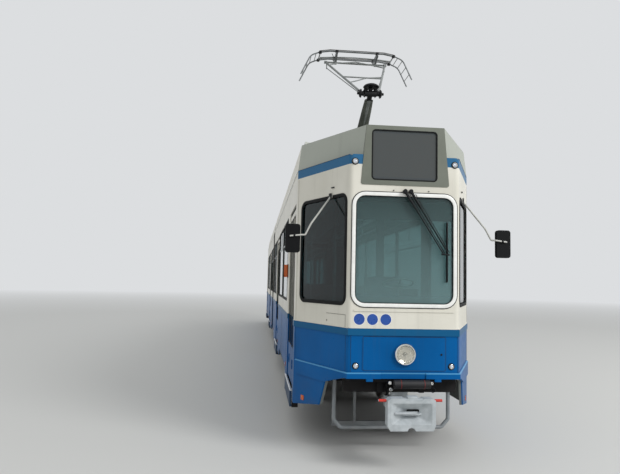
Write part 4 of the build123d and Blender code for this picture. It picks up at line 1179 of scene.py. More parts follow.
    def displays(self) -> None:
        """Build the display pane of each destination box and its rubber."""
        for section in Section:
            x, height = self.display[0] * section.facing, self.display[1]
            pane = BENCH.plate(section.end_seat(x, height, -0.006), 0.719, 0.545, 0.034, 0.002)
            section.dress_own([pane], "display", "display", "box_grey")
            ring = BENCH.plate(section.end_seat(x, height, 0.0045), 0.735, 0.561, 0.043,
                               0.005, 0.002, 0.014)
            section.dress_own([ring], "display_rubber", "rubber", "box_grey")

    def build(self) -> None:
        """Build all the fittings."""
        self.headlamp()
        self.markers()
        self.discs()
        self.wipers()
        self.small()
        self.mirrors()
        self.displays()


@dataclass
class CouplerTrim:
    """Straps round the rolled cover, grips, hose couplings and air hoses of both couplers."""

    roll: Pair = (-0.040, 0.818)
    strap_xs: Pair = (-0.045, 0.205)
    strap: Plan = ((0.0465, 0), (0.0490, 0.001), (0.0490, 0.006), (0.0465, 0.007))
    # Each row: x of the hose coupling, its height
    taps: Plan = ((-0.146, 0.826), (-0.136, 0.757), (0.306, 0.823))
    tap: Plan = ((0, 0), (0.013, 0), (0.013, 0.050), (0.020, 0.054), (0.020, 0.072),
                             (0.015, 0.078), (0.010, 0.078), (0.008, 0.066), (0, 0.066))
    collar: Plan = ((0.015, 0), (0.027, 0.002), (0.028, 0.016), (0.022, 0.022),
                                (0.015, 0.018))
    # Guide tongue; each row: x, station
    leaf: Plan = ((-0.176, -0.322), (-0.150, -0.329), (0.050, -0.314),
                              (0.078, -0.262), (-0.120, -0.262))
    cheek: Pair = (-0.322, -0.250)

    def build(self) -> None:
        """Build the trim of both ends."""
        for section in Section:
            grips = [section.bar((side * 0.2475, -0.270, 0.700), (side * 0.3295, -0.270, 0.700),
                                 0.0140, 0.003) for side in SIDES]
            straps = [BENCH.lathe(Seat(section.at(x, *self.roll), AXIS_Y, AXIS_X), self.strap, 28)
                      for x in self.strap_xs]
            taps, hoses_and_painted_shadow = [], []
            for x, height in self.taps:
                taps.append(BENCH.lathe(section.end_seat(x, height, -0.070), self.tap, 24))
                hoses_and_painted_shadow.append(section.tube([(x, 0.072, height), (x * 1.06, 0.125, height - 0.060),
                                           (x * 0.9, 0.240, 0.735)], 0.016))
            # The last piece is a dark pad in the mouth, a painted shadow
            hoses_and_painted_shadow += [BENCH.lathe(section.end_seat(0.312, 0.757, 0.010), self.collar, 24),
                      section.tube([(0.312, -0.002, 0.757), (0.320, 0.150, 0.740)], 0.014),
                      section.block((-0.032, 0.122), (-0.262, -0.242), (0.583, 0.613), 0.006)]
            lugs = [section.prism(self.leaf, (0.573, 0.592), 0.004),
                    section.block((-0.082, 0.132), self.cheek, (0.700, 0.727), 0.006),
                    section.block((-0.043, 0.067), self.cheek, (0.716, 0.749), 0.008)]
            for parts, name, look in (
                    (lugs, "coupler_lugs", "coupler"), (grips, "coupler_grips", "handle_red"),
                    (straps, "cover_straps", "strap"), (taps, "hose_couplings", "chrome"),
                    (hoses_and_painted_shadow, "air_hoses_and_painted_shadow", "rubber")):
                section.dress_own(parts, name, look, "coupler_cast")


@dataclass
class RearFittings:
    """Tail lamps of the rear end."""

    # Each row: x, height, radius
    lamps: Rows = ((-0.480, 1.130, 0.060), (0.480, 1.130, 0.060),
                              (-0.556, 3.190, 0.036), (0.556, 3.190, 0.036))
    rim: Plan = ((0, 0), (0, 0.018), (-0.005, 0.026), (-0.012, 0.022),
                             (-0.012, 0.002), (-0.008, 0))

    def build(self) -> None:
        """Build rims and lenses."""
        rims, lenses = [], []
        for x, height, radius in self.lamps:
            seat = REAR.end_seat(x, height, LAID)
            rims.append(BENCH.lathe(seat, grown(radius, self.rim), 32))
            lenses.append(BENCH.dome(REAR.end_seat(x, height, 0.004), radius - 0.012, 0.020, 24))
        REAR.dress(rims, "tail_lamp_rims", "chrome", "lamp")
        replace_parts(REAR.dress(lenses, "tail_lamp_lenses", "red", "lamp"), "rear_lamps")


@dataclass
class SideTrim:
    """Window rubbers and toplights, gutters, joints, turn lamps and reflectors on the sides."""

    rubber_border: float = 0.034
    gutter_heights: Pair = (3.264, 3.286)
    toplight: float = 2.490
    rail: float = 0.024
    # Stations of the upright joints, and of the ends of the skirt flaps' joints, in the blue
    joints: Row = (2.555, 2.862, 4.607, 6.320, 7.630, 8.824, 9.980)
    flaps: Plan = ((7.640, 8.820), (5.740, 6.290), (8.860, 9.020))
    turn_lamp_station: float = 2.750
    lens_heights: Pair = (1.940, 2.130)
    case_heights: Pair = (1.930, 2.140)
    joint_heights: Pair = (0.560, 1.318)
    flap_heights: Pair = (0.738, 0.742)
    # Each row of the lamp's plans: distance out from the wall, distance behind its front edge
    lens: Plan = ((0.010, 0.001), (0.069, 0.001), (0.050, 0.044), (0.010, 0.102))
    case: Plan = ((LAID, 0), (0.014, 0), (0.014, 0.106), (LAID, 0.110))
    reflector_stations: Row = (2.900, 6.255, 9.300)

    def build(self) -> None:
        """Build the trim of both sections."""
        for section in Section:
            self.windows(section)
            self.lines(section)
            self.lamps(section)

    def windows(self, section: Section) -> None:
        """Build a rubber round each saloon window and the rails of its opening toplight."""
        rubbers, rails = [], []
        low, high = self.toplight, self.toplight + self.rail
        for side, rows in ((-1, DOOR_SIDE_WINDOWS), (1, CLOSED_SIDE_WINDOWS)):
            for first, last in rows:
                middle = (first + last) / 2
                seat = section.side_seat(side, middle, (WINDOW_BOTTOM + WINDOW_TOP) / 2,
                                         BODY_HALF - 0.006)
                rubbers.append(BENCH.plate(
                    seat, last - first + 0.030, WINDOW_TOP - WINDOW_BOTTOM + 0.030,
                    0.100, 0.010, 0.003, self.rubber_border))
                xs = skin(side, -0.0098, -0.002)
                rails += [section.block(xs, (first + 0.018, last - 0.018), (low, high), 0.002),
                          section.block(xs, around(middle, 0.011), (high, WINDOW_TOP - 0.018),
                                        0.002)]
        section.dress_own(rubbers, "window_rubbers", "rubber", "glass")
        section.dress_own(rails, "toplight_rails", "aluminium", "glass")

    def lines(self, section: Section) -> None:
        """Build the gutters, and the joints between side panels and hinged skirt flaps."""
        gutters, parts = [], []
        for side in SIDES:
            gutters.append(section.block(
                skin(side, -0.004, 0.012), (NOSE_DEPTH + 0.02, SECTION_END),
                self.gutter_heights, 0.004))
            xs = skin(side, -0.001, 0.0012)
            for station in self.joints:
                if side > 0 or not any(start - 0.05 < station < start + DOOR_WIDTH + 0.05
                                       for start in DOORWAY_STARTS):
                    parts.append(section.block(xs, around(station, 0.002),
                                               self.joint_heights, 0.0004))
            parts += [section.block(xs, span, self.flap_heights, 0.0004)
                      for span in self.flaps]
        section.dress_own(gutters, "gutters", "white_frame", "roof_paint")
        section.dress_own(parts, "side_joints", "seam", "body_paint")

    def turn_lamp(self, side: int, plan: Sequence[Pair], heights: Pair, soft: float) -> Piece:
        """Return an upright block on a plan beside the wall."""
        return FRONT.prism([(side * (BODY_HALF + out), self.turn_lamp_station + back)
                            for out, back in plan], heights, soft)

    def lamps(self, section: Section) -> None:
        """Build the amber turn lamps and reflectors."""
        parts, cases = [], []
        for side in SIDES:
            if section is FRONT:
                parts.append(self.turn_lamp(side, self.lens, self.lens_heights, 0.004))
                cases.append(self.turn_lamp(side, self.case, self.case_heights, 0.003))
            parts += [BENCH.plate(section.side_seat(side, station, 0.600, BODY_HALF + LAID),
                                  0.040, 0.060, 0.004, 0.006, 0.002)
                      for station in self.reflector_stations]
            seat = section.taper_seat(side, 0.940, 0.500, LAID)
            parts.append(BENCH.plate(seat, 0.068, 0.056, 0.006, 0.006, 0.002))
        section.dress_own(parts, "turn_lamps", "amber", "lamp")
        if cases:
            section.dress(cases, "turn_lamp_cases", "black_plastic", "lamp")


@dataclass
class Doors:
    """Pane rubbers and edge seals of the folding doors, and the steps' tread ribs."""

    leaf_frame: float = 0.042
    pane_heights: Pair = (1.000, 2.760)
    edge_gap: float = 0.003
    meeting_gap: float = 0.009
    outer_x: float = 1.083
    inner_x: float = 1.052
    seal: float = 0.0045

    def build(self) -> None:
        """Dress the four doorways."""
        width, gap = (DOOR_WIDTH / 2 - self.meeting_gap) / 2, self.edge_gap
        for index, start in enumerate(DOORWAY_STARTS):
            end = start + DOOR_WIDTH
            # Each row: leaf, near and far station, edge that meets the other pair, its direction
            leaves = (("front_a", start + 2 * gap, start + width - gap, None, 0),
                      ("front_b", start + width + gap, start + 2 * width, start + 2 * width, 1),
                      ("rear_a", end - width + gap, end - 2 * gap, None, 0),
                      ("rear_b", end - 2 * width, end - width - gap, end - 2 * width, -1))
            for section in Section:
                number = index + 1 if section is FRONT else 4 - index
                for leaf, *places in leaves:
                    self.leaf(section, f"door_{number}_{leaf}", *places)
                self.step(section, f"step_{number}", start)

    def leaf(self, section: Section, name: str, near: float, far: float, edge: float | None,
             direction: int) -> None:
        """Dress one leaf."""
        low, high = self.pane_heights
        width = far - near - 2 * self.leaf_frame + 0.020
        parts = []
        for side, x in ((-1, self.outer_x), (1, -self.inner_x)):
            seat = section.side_seat(side, (near + far) / 2, (low + high) / 2, x)
            parts.append(BENCH.plate(seat, width, high - low + 0.020, 0.045, 0.005, 0.0015, 0.018))
        if edge is not None:
            parts.append(section.block((-1.082, -1.053), (edge, edge + direction * self.seal),
                                       (0.545, 2.820), 0.002))
        BENCH.dress(parts, name + "_rubber", "rubber", name, "door_paint")

    def step(self, section: Section, name: str, start: float) -> None:
        """Dress one folding step with tread ribs."""
        span = (start + 0.045, start + DOOR_WIDTH - 0.045)
        heights = [0.330 + 0.024 * row for row in range(6)]
        ribs = [section.block((-1.1035, -1.0985), span, (height, height + 0.009), 0.0015)
                for height in heights]
        BENCH.dress(ribs, name + "_ribs", "rubber", name, "step_alu")


@dataclass
class Gaiter:
    """The folded gaiter between the sections."""

    half: float = 1.050
    fold_depth: float = 0.062
    bottom: float = 0.790
    top: float = 3.545
    crown_centre: float = 1.9
    folds: int = 9
    steps_per_fold: int = 4
    corner: float = 0.120
    clearance: float = 0.002

    def outline(self) -> list[Pair]:
        """Return the arch from foot to foot, as x and height rows."""
        foot, bend = -self.half, self.top - self.corner
        points = [(foot, self.bottom), (foot, bend)]
        points += [(foot + self.corner * (1 - math.cos(a)),
                    self.top - self.corner * (1 - math.sin(a)))
                   for a in (math.radians(step) for step in range(15, 90, 15))]
        points.append((foot + self.corner, self.top))
        return points + [(-x, z) for x, z in reversed(points)]

    def build(self) -> None:
        """Build the folds as a corrugated arch."""
        span = 2 * (HALF_LENGTH - SECTION_END - self.clearance)
        outline = self.outline()
        count, rows = len(outline), self.folds * self.steps_per_fold + 1
        BENCH.clear()
        bpy.ops.mesh.primitive_grid_add(x_subdivisions=count - 1, y_subdivisions=rows - 1)
        piece = bpy.context.object
        for row in range(rows):
            share = row / (rows - 1)
            draw = 0.5 - 0.5 * math.cos(share * self.folds * math.tau)
            inset = self.fold_depth * (1 - draw) + 0.002
            for i, (x, z) in enumerate(outline):
                rise = z - self.crown_centre
                reach = math.hypot(x, max(rise, 0.0))
                nx, nz = x / self.half, 0.0
                if z >= self.top - self.corner:
                    nx, nz = x / reach, rise / reach
                place = at(x - nx * inset, SECTION_END + self.clearance + share * span,
                           z - nz * inset)
                piece.data.vertices[row * count + i].co = place
        BENCH.close(piece, 60)
        wall = piece.modifiers.new("wall", "SOLIDIFY")
        wall.thickness = 0.004
        wall.offset = -1
        bpy.ops.object.modifier_apply(modifier=wall.name)
        piece.name = "gaiter"
        piece.data.materials.append(finish("gaiter"))
        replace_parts(piece, "bellows")
        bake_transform(piece)
        LOG.info("gaiter: %d faces", len(piece.data.polygons))
        for section in Section:
            self.frame(section)

    def frame(self, section: Section) -> None:
        """Build the rubber-faced frame that clamps the gaiter to a section's end."""
        span = (SECTION_END - 0.045, SECTION_END + 0.0015)
        parts = [section.block((-0.980, 0.980), span, (ROOF_TOP - 0.001, ROOF_TOP + 0.045), 0.010)]
        parts += [section.block(skin(side, -0.002, 0.010), span, (0.560, EAVES - 0.010), 0.004)
                  for side in SIDES]
        section.dress_own(parts, "gaiter_frame", "rubber", "bellows_rubber")


@dataclass
class Running:
    """Springs, dampers, sand pipes and bolted caps on the bogies, and pipes under the floor."""

    cap_x: float = 0.7203
    cap: Plan = ((0, 0), (0.085, 0), (0.085, 0.012), (0.060, 0.022), (0.030, 0.026),
                             (0, 0.026))
    bolt_circle: float = 0.070
    spring_place: Pair = (0.560, 0.4505)
    spring_offset: float = 0.130
    # Distances from the bogie's centre of a sand pipe's upright and of its toe
    sand_reach: Pair = (1.300, 1.255)
    pan: Plan = ((0, 0), (0.066, 0), (0.066, 0.008), (0, 0.008))
    sand_x: float = 0.525
    floor_pipe_xs: Row = (-0.340, 0.340, 0.385)

    def caps(self, side: int, axle: float) -> list[Piece]:
        """Return the bolted cap of one axle box."""
        seat = Seat(at(side * self.cap_x, axle, AXLE_HEIGHT), AXIS_Y * side, AXIS_X * side)
        parts = [BENCH.lathe(seat, self.cap, 24)]
        for turn in range(6):
            angle = turn * math.tau / 6
            foot = at(side * 0.732, axle + self.bolt_circle * math.cos(angle),
                      AXLE_HEIGHT + self.bolt_circle * math.sin(angle))
            parts.append(BENCH.bar(foot, foot + AXIS_X * side * 0.012, 0.009, 0.002, 6))
        return parts

    def springs(self, side: int, station: float) -> list[Piece]:
        """Return one side's bolster springs on their pans."""
        parts, (x, height) = [], self.spring_place
        for y in around(station, self.spring_offset):
            seat = Seat(at(side * x, y, height), AXIS_X, AXIS_Z)
            parts += [BENCH.coil(seat, 0.052, 0.011, 0.185, 5), BENCH.lathe(seat, self.pan, 20)]
        return parts

    def sand_pipes(self, side: int, station: float) -> list[Piece]:
        """Return one side's sand pipes."""
        parts = []
        for way in SIDES:
            reach, toe = (station + way * distance for distance in self.sand_reach)
            parts.append(BENCH.tube([at(side * self.sand_x, *place) for place in
                                     ((reach, 0.405), (reach, 0.220), (toe, 0.075))], 0.014))
        return parts

    def damper(self, side: int, station: float) -> list[Piece]:
        """Return one side's damper: its case and its rod."""
        foot = at(side * 0.745, station + 0.250, 0.400)
        joint, top = (foot + Vector(rise) for rise in ((0, -0.050, 0.120), (0, -0.090, 0.215)))
        return [BENCH.bar(foot, joint, 0.024, 0.004), BENCH.bar(joint, top, 0.013, 0.002)]

    def build(self) -> None:
        """Dress the three bogies."""
        for name, station in BOGIE_STATIONS.items():
            caps, springs, pipes = [], [], []
            for side in SIDES:
                for axle in around(station, HALF_WHEELBASE):
                    caps += self.caps(side, axle)
                if name != "middle":
                    pipes += self.sand_pipes(side, station)
                springs += self.springs(side, station)
                pipes += self.damper(side, station)
            for parts, kind, look in ((caps, "axle_caps_", "bogie"),
                                      (springs, "bolster_springs_", "spring"),
                                      (pipes, "pipes_and_dampers_", "spring")):
                BENCH.dress(parts, kind + name, look, "bogie_" + name, "bogie_paint")
        for section in Section:
            runs = [section.bar((x, 1.300, 0.780), (x, 9.900, 0.780), 0.016)
                    for x in self.floor_pipe_xs]
            section.dress_own(runs, "floor_pipes", "spring", "underframe_paint")


@dataclass
class RoofDeck:
    """Ribs, louvres, joints and conduits on the roof."""

    # Each row: section, first station, last station, half width, height of a box
    boxes: tuple[tuple[Section, float, float, float, float], ...] = (
        (FRONT, 4.6835, 6.3845, 0.620, 0.250), (FRONT, 6.7247, 7.5752, 0.560, 0.210),
        (FRONT, 8.0288, 9.2762, 0.640, 0.240), (REAR, 6.3845, 7.6886, 0.600, 0.230))
    walkway_x: float = 0.760
    rib_offsets: Row = (-0.045, 0.0, 0.045)
    slat_pitch: float = 0.075
    seam_pitch: float = 1.900
    conduit_xs: Pair = (0.460, 0.510)
    # Stations of the conduits between boxes
    links: Plan = ((6.380, 6.730), (7.570, 8.035))

    def build(self) -> None:
        """Build the louvres, the walkway ribs, the sheet joints and the conduits."""
        for section in Section:
            slats, ribs = [], []
            for owner, *box in self.boxes:
                if owner is section:
                    slats += self.louvres(section, *box)
            # The front section's walkways begin behind the cross screen
            span = (2.100 if section is FRONT else 1.300, 9.90)
            for x in (-self.walkway_x, self.walkway_x):
                ribs += [section.block(around(x + offset, 0.009), span,
                                       (ROOF_TOP - 0.0005, ROOF_TOP + 0.010), 0.002)
                         for offset in self.rib_offsets]
            slats += [section.block((-0.690, 0.690), around(1.650 + self.seam_pitch * index, 0.012),
                                    (ROOF_TOP - 0.0005, ROOF_TOP + 0.005), 0.002)
                      for index in range(5)]
            section.dress_own(slats, "roof_louvres", "roof_trim", "roof_paint")
            section.dress_own(ribs, "roof_walkway", "rubber", "roof_paint")
        runs = [FRONT.tube([(x, 3.550, 3.615), (x, 4.600, 3.615), (x, 4.720, 3.700)], 0.014)
                for x in self.conduit_xs]
        x = self.conduit_xs[0]
        runs += [FRONT.bar((x, start, 3.700), (x, end, 3.700), 0.022) for start, end in self.links]
        FRONT.dress(runs, "roof_conduits", "roof_trim", "roof_paint")

    def louvres(self, section: Section, first: float, last: float, half: float,
                height: float) -> list[Piece]:
        """Return the upright slats on both sides of a box."""
        count = int((last - first - 0.16) / self.slat_pitch)
        starts = [first + 0.10 + index * self.slat_pitch for index in range(count)]
        return [section.block((side * (half - 0.001), side * (half + 0.010)),
                              (start, start + 0.042),
                              (ROOF_TOP + 0.085, ROOF_TOP + height + 0.008), 0.003)
                for side in SIDES for start in starts]


@dataclass
class Pantograph:
    """Clamps, rungs, rods, springs and the tapered sleeve of the current collector."""

    pivot: Pair = (3.300, 3.860)
    knee: Pair = (2.000, 4.650)
    head: Pair = (3.350, 5.635)
    strip_height: float = 5.775
    strip_pitch: float = 0.170
    # Each row: x of a clamp, drop of the strip there
    clamps: Plan = ((-0.628, 0.030), (-0.345, 0.0), (0.345, 0.0), (0.628, 0.030))
    # Each row: x, height and radius of a rung between the two horns of one end
    rungs: Rows = ((0.700, 5.712, 0.006), (0.782, 5.667, 0.006), (0.846, 5.559, 0.006),
                              (0.905, 5.437, 0.006), (0.628, 5.735, 0.010))
    tube_xs: Row = (-0.62, -0.40, -0.20, 0, 0.20, 0.40, 0.62)
    # Bent stays; each row: x, share of the way from the knee to the head, rise over the arms
    stays: tuple[tuple[float, Rows], ...] = (
        (0.010, ((-0.475, 0.90, 0), (-0.300, 0.95, 0.020), (0, 0.97, 0.045), (0.300, 0.95, 0.010),
                 (0.475, 0.90, 0))),
        (0.009, ((-0.245, 0.32, 0), (-0.120, 0.40, -0.010), (0.080, 0.52, -0.010),
                 (0.335, 0.55, 0))))
    sleeve: Plan = ((0.0385, 0.130), (0.056, 0.130), (0.084, 0.300), (0.090, 0.560),
                                (0.084, 0.860), (0.074, 1.200), (0.064, 1.400), (0.0385, 1.410))
    sleeve_flatness: float = 0.46
    knob: Plan = ((0, 0), (0.062, 0), (0.064, 0.012), (0.050, 0.026), (0.022, 0.034),
                              (0.018, 0.060), (0, 0.062))
    washer: Plan = ((0.046, 0), (0.075, 0), (0.075, 0.010), (0.046, 0.012))
    spring_xs: Pair = (-0.230, 0.230)
    spring_height: float = 3.780
    cylinder_height: float = 3.750
    foot_xs: Pair = (-0.330, 0.330)

    def build(self) -> None:
        """Dress the head, the upper arm, the lower arm and the base."""
        self.collector()
        self.arms()
        self.knee_fittings()
        self.base()

    def collector(self) -> None:
        """Build the strips' clamps, the middle tube and the rungs of the horns."""
        station, height = self.head[0], self.strip_height
        clamps, rods = [], []
        ends = around(station, self.strip_pitch)
        for x, drop in self.clamps:
            clamps += [FRONT.block(around(x, 0.024), around(y, 0.029),
                                   (height - drop - 0.030, height - drop + 0.008), 0.005)
                       for y in ends]
        for side in SIDES:
            rods += [FRONT.bar((side * x, ends[0], z), (side * x, ends[1], z), radius)
                     for x, z, radius in self.rungs]
            rods += [FRONT.bar((side * 0.345, station, 5.665),
                               (side * 0.400 + foot, station + 5 * foot, 5.752), 0.006)
                     for foot in (-0.020, 0.020)]
        rods.append(FRONT.tube([(x, station, 5.742 - 0.030 * (x / 0.62) ** 2)
                                for x in self.tube_xs], 0.011))
        BENCH.dress(clamps, "strip_clamps", "black_plastic", "pantograph_head", "panto_paint")
        BENCH.dress(rods, "head_rods", "panto", "pantograph_head", "panto_paint")

    def arms(self) -> None:
        """Build the levelling rods and stays on the upper arm, and the lower arm's sleeve."""
        (knee_y, knee_z), (head_y, head_z), rods = self.knee, self.head, []
        for side in SIDES:
            rods += [FRONT.bar((side * 0.075, knee_y + 0.030, knee_z - 0.045),
                               (side * 0.500, head_y - 0.020, head_z - 0.110), 0.0075),
                     FRONT.block(around(side * 0.500, 0.008), (head_y - 0.040, head_y - 0.010),
                                 (head_z - 0.125, head_z), 0.003)]
        for radius, stay in self.stays:
            rods.append(FRONT.tube([(x, knee_y + (head_y - knee_y) * share,
                                     knee_z + (head_z - knee_z) * share + rise)
                                    for x, share, rise in stay], radius))
        BENCH.dress(rods, "upper_arm_rods", "panto", "pantograph_upper", "panto_paint")
        foot = at(0, *self.pivot)
        # Oval across the arm, so that the folded arm clears the base
        oval = Matrix.Diagonal((1, self.sleeve_flatness, 1, 1))
        lean = Seat(foot, AXIS_X, at(0, *self.knee) - foot).matrix()
        sleeve = BENCH.settle(BENCH.lathe(Seat(Vector(), AXIS_X, AXIS_Z), self.sleeve, 32),
                              lean @ oval)
        BENCH.dress([sleeve], "lower_arm_sleeve", "arm_sleeve", "pantograph_lower", "panto_paint")

    def knee_fittings(self) -> None:
        """Build the knobs and brackets of the knee and the hood over it."""
        (y, z), knobs = self.knee, []
        for side in SIDES:
            seat = Seat(at(side * 0.137, y, z), AXIS_Y, AXIS_X * side)
            knobs += [BENCH.lathe(seat, self.knob, 24),
                      FRONT.block(around(side * 0.075, 0.030), (y - 0.050, y + 0.040),
                                  (z + 0.020, z + 0.062), 0.012)]
        foot = at(0, y, z + 0.030)
        hood = Seat(foot + Vector((0, -0.050, 0.048)), AXIS_X, AXIS_Z)
        knobs += [BENCH.bar(foot, foot + Vector((0, -0.020, 0.048)), 0.030, 0.004),
                  BENCH.dome(hood, 0.116, 0.052, 28)]
        BENCH.dress(knobs, "knee_fittings", "black_plastic", "pantograph_upper", "panto_paint")

    def base(self) -> None:
        """Build the raising springs, the cylinder and the bolts of the base frame."""
        station, springs, parts = self.pivot[0], [], []
        z = self.spring_height
        for x in self.spring_xs:
            seat = Seat(at(x, station - 0.520, z), AXIS_X, AXIS_Y)
            springs.append(BENCH.coil(seat, 0.034, 0.007, 0.480, 22))
            parts += [FRONT.bar((x, station - 0.615, z), (x, station + 0.100, z), 0.010),
                      FRONT.block(around(x, 0.020), (station - 0.630, station - 0.600),
                                  (3.765, 3.832), 0.004)]
        # Cylinder and its rod; each row: first and last station from the pivot, radius, softness
        z = self.cylinder_height
        parts += [FRONT.bar((0, station + near, z), (0, station + far, z), *shape)
                  for near, far, *shape in ((-0.560, -0.180, 0.042, 0.006),
                                            (-0.180, 0.100, 0.014))]
        # Its brackets; each row: half width, first and last station from the pivot, heights, soft
        parts += [FRONT.block((-half, half), (station + near, station + far), heights, 0.005)
                  for half, near, far, heights in ((0.060, -0.615, -0.555, (3.715, 3.832)),
                                                   (0.250, 0.080, 0.110, (3.735, 3.812)))]
        parts += [BENCH.lathe(Seat(at(x, station + y, 3.6004), AXIS_X, AXIS_Z), self.washer, 20)
                  for x in self.foot_xs for y in (-0.500, 0.300)]
        FRONT.dress(springs, "raising_springs", "spring", "panto_paint")
        FRONT.dress(parts, "base_fittings", "panto", "panto_paint")


@dataclass
class Saloon:
    """Seat upholstery, ceiling lights, rails and the driver's place."""

    # Each row: station of a seat back's foot, 1 if it faces forward or -1, seats on the door side
    rows: tuple[tuple[float, int, bool], ...] = (
        (3.1476, -1, False), (3.9543, 1, True), (4.7442, -1, True), (5.6800, 1, False),
        (7.9562, -1, True), (8.7521, 1, True), (9.5098, -1, True))
    rail_height: float = 2.780
    ceiling_height: float = 3.0795
    light_xs: Pair = (-0.520, 0.520)
    rail_xs: Pair = (-0.330, 0.400)
    hanger_stations: Row = (2.900, 4.600, 6.250, 7.900, 9.700)
    wheel_x: float = 0.030
    wheel_tilt: Row = (0, 0.309, 0.951)
    back_lean: float = -8.5
    cushion_fill: float = 0.8

    def build(self) -> None:
        """Furnish both sections and the driver's cab."""
        for section in Section:
            cushions = []
            for station, facing, door_side in self.rows:
                for left in (0.610, 0.160, -1.040) if door_side else (0.610,):
                    cushions += self.cushion(section, left, station, facing)
            section.dress_own(cushions, "seat_moquette", "moquette", "seat")
            self.ceiling(section)
        self.driver()

    def cushion(self, section: Section, left: float, station: float, facing: int) -> list[Piece]:
        """Return the seat and back pads of one passenger seat."""
        xs = (left + 0.020, left + 0.400)
        seat = section.block(xs, (station - facing * 0.05, station - facing * 0.44),
                             (1.318, 1.346), 0.010)
        back = section.block(xs, (station + facing * 0.052, station + facing * 0.030),
                             (1.400, 1.720), 0.010)
        lean = Matrix.Rotation(section.facing * -facing * math.radians(self.back_lean), 4, "X")
        pivot = section.at(left, station, 1.300)
        turn = Matrix.Translation(pivot) @ lean @ Matrix.Translation(-pivot)
        return [seat, BENCH.settle(back, turn)]

    def ceiling(self, section: Section) -> None:
        """Build the light strips and the two grab rails under the ceiling."""
        low, high = self.rail_height, self.ceiling_height
        lights = [section.block(around(x, 0.070), (1.500, 9.800), (3.045, high), 0.012)
                  for x in self.light_xs]
        rails = []
        for x in self.rail_xs:
            rails.append(section.bar((x, 2.750, low), (x, 9.900, low), 0.016))
            rails += [section.bar((x, station, low), (x, station, high), 0.011)
                      for station in self.hanger_stations]
        section.dress_own(lights, "light_strips", "diffuser", "interior")
        section.dress_own(rails, "grab_rails", "pole", "rail")

    def driver(self) -> None:
        """Build the driver's padded seat, the hand wheel on its column and the desk's panels."""
        base = FRONT.block((-0.235, 0.235), (0.640, 1.000), (1.342, 1.400), 0.026)
        cushion = FRONT.dress([base], "driver_cushion", "moquette", "interior")
        back = FRONT.block((-0.225, 0.225), (0.955, 1.008), (1.400, 1.960), 0.025)
        rest = FRONT.dress([back], "driver_back", "moquette", "interior")
        tilt = Vector(self.wheel_tilt)
        centre = at(self.wheel_x, 0.400, 1.876)
        foot = centre - tilt * 0.030
        parts = [BENCH.torus(Seat(centre, AXIS_X, tilt), 0.172, 0.0125),
                 BENCH.dome(Seat(foot, AXIS_X, tilt), 0.036, 0.020, 24)]
        for turn in range(3):
            angle = turn * math.tau / 3 + 0.5
            way = Vector((math.cos(angle), math.sin(angle) * tilt.z, -math.sin(angle) * tilt.y))
            parts.append(BENCH.bar(centre - tilt * 0.024, centre + way * 0.166, 0.008))
        FRONT.dress(parts, "hand_wheel", "wheel_rim", "interior")
        desk = [BENCH.bar(at(self.wheel_x, 0.300, 1.455), foot, 0.030, 0.006, end_radius=0.022),
                FRONT.block((-0.420, -0.160), (0.170, 0.330), (1.425, 1.560), 0.015),
                FRONT.block((0.200, 0.430), (0.170, 0.330), (1.425, 1.540), 0.015),
                FRONT.bar((-0.500, 0.075, 2.790), (0.500, 0.075, 2.790), 0.026, 0.004)]
        # Each row of knobs: first x, pitch, foot, radius
        for first, pitch, low, radius in ((-0.380, 0.045, 1.558, 0.010),
                                          (0.235, 0.040, 1.538, 0.009)):
            xs = [first + pitch * index for index in range(5)]
            desk += [FRONT.bar((x, 0.250, low), (x, 0.250, low + 0.022), radius) for x in xs]
        FRONT.dress(desk, "desk_panels", "black_plastic", "interior")


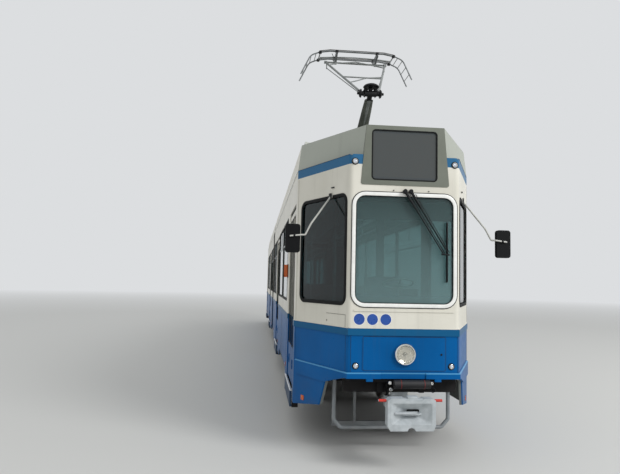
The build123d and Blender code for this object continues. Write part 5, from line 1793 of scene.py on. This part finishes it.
@dataclass
class Studio:
    """Camera at the photo's viewpoint, floor and soft light."""

    focal_px: float = 558.3
    frame_px: float = 620.0
    film_mm: float = 36
    far_end: float = 400
    # Distances between which the floor fades into the backdrop
    fade: Pair = (18.0, 70.0)
    yaw: float = 0.093
    pitch: float = 0.080
    roll: float = 0.022
    eye: Row = (-1.582, -16.275, 1.899)
    lamp_place: Row = (15, -24, 16)
    lamp_aim: Row = (0, -6, 1.5)
    lamp_width: float = 10
    lamp_power: float = 3700.0
    backdrop: str = "#dcdee0"
    ground: str = "#c9c9c6"
    sky: str = "#f4f6f8"
    sky_strength: float = 0.82

    def camera(self) -> None:
        """Place the camera."""
        forward = Vector((math.sin(self.yaw) * math.cos(self.pitch),
                          math.cos(self.yaw) * math.cos(self.pitch), math.sin(self.pitch)))
        level = Vector((math.cos(self.yaw), -math.sin(self.yaw), 0))
        upright = level.cross(forward)
        right = level * math.cos(self.roll) + upright * math.sin(self.roll)
        up = upright * math.cos(self.roll) - level * math.sin(self.roll)
        BENCH.clear()
        bpy.ops.object.camera_add()
        camera = bpy.context.object
        turn = Matrix((right, up, -forward)).transposed().to_4x4()
        camera.matrix_world = Matrix.Translation(Vector(self.eye)) @ turn
        camera.data.sensor_width = self.film_mm
        camera.data.lens = self.film_mm * self.focal_px / self.frame_px
        camera.data.clip_end = self.far_end
        bpy.context.scene.camera = camera

    def floor(self) -> None:
        """Lay a wide pale floor level with the wheels, which fades into the backdrop."""
        BENCH.clear()
        bpy.ops.mesh.primitive_plane_add(size=self.far_end, location=(0, 0, -0.0005))
        floor = bpy.context.object
        floor.name = "floor"
        shade = Shade("studio_floor")
        matte = shade.surface(Base_Color=linear(self.ground), Roughness=0.9)
        glow = add_node(shade.tree, "Emission", {"Color": linear(self.backdrop), "Strength": 1.0})
        reach = add_node(shade.tree, "VectorMath", {0: shade.place}, operation="LENGTH")
        fade = shade.times(self.seen_directly(shade.tree),
                           shade.spread(reach.outputs["Value"], *self.fade))
        both = add_node(shade.tree, "MixShader", {0: fade, 1: matte, 2: glow.outputs[0]})
        floor.data.materials.append(shade.finish(both.outputs[0]))

    def seen_directly(self, tree: bpy.types.NodeTree) -> Socket:
        """Return 1 for rays from the eye, from gloss and through glass."""
        path = add_node(tree, "LightPath").outputs
        seen = path["Is Camera Ray"]
        for kind in ("Is Glossy Ray", "Is Transmission Ray"):
            seen = add_node(tree, "Math", {0: seen, 1: path[kind]}, operation="MAXIMUM").outputs[0]
        return seen

    def light(self) -> None:
        """Light the scene as an overcast day, with one broad lamp in front on the closed side."""
        world = bpy.data.worlds.new("overcast")
        world.use_nodes = True
        tree = world.node_tree
        tree.nodes.clear()
        sky, plain = (add_node(tree, "Background", {"Color": linear(colour), "Strength": strength})
                      for colour, strength in ((self.sky, self.sky_strength), (self.backdrop, 1.0)))
        both = add_node(tree, "MixShader", {0: self.seen_directly(tree), 1: sky.outputs[0],
                                            2: plain.outputs[0]})
        add_node(tree, "OutputWorld", {"Surface": both.outputs[0]})
        bpy.context.scene.world = world
        BENCH.clear()
        bpy.ops.object.light_add(type="AREA", location=self.lamp_place)
        lamp = bpy.context.object
        lamp.data.shape = "DISK"
        lamp.data.size = self.lamp_width
        lamp.data.energy = self.lamp_power
        aim = Vector(self.lamp_aim) - lamp.location
        lamp.rotation_euler = aim.to_track_quat("-Z", "Y").to_euler()

    def build(self) -> None:
        """Build the studio."""
        self.camera()
        self.floor()
        self.light()
        bpy.context.scene.view_settings.view_transform = "Standard"


def main() -> None:
    """Dress the tram and light it."""
    logging.basicConfig(level=logging.INFO, format="%(message)s")
    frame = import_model()
    BENCH.clear()
    Studio().build()
    Frame().dress(frame["nodes"])
    for section in Section:
        TaperedEnd(section).build()
    for assembly in (FrontFittings(), CouplerTrim(), RearFittings(), SideTrim(), Doors(), Gaiter(),
                     Running(), RoofDeck(), Pantograph(), Saloon()):
        LOG.info("building %s", type(assembly).__name__)
        assembly.build()


if __name__ == "__main__":
    main()
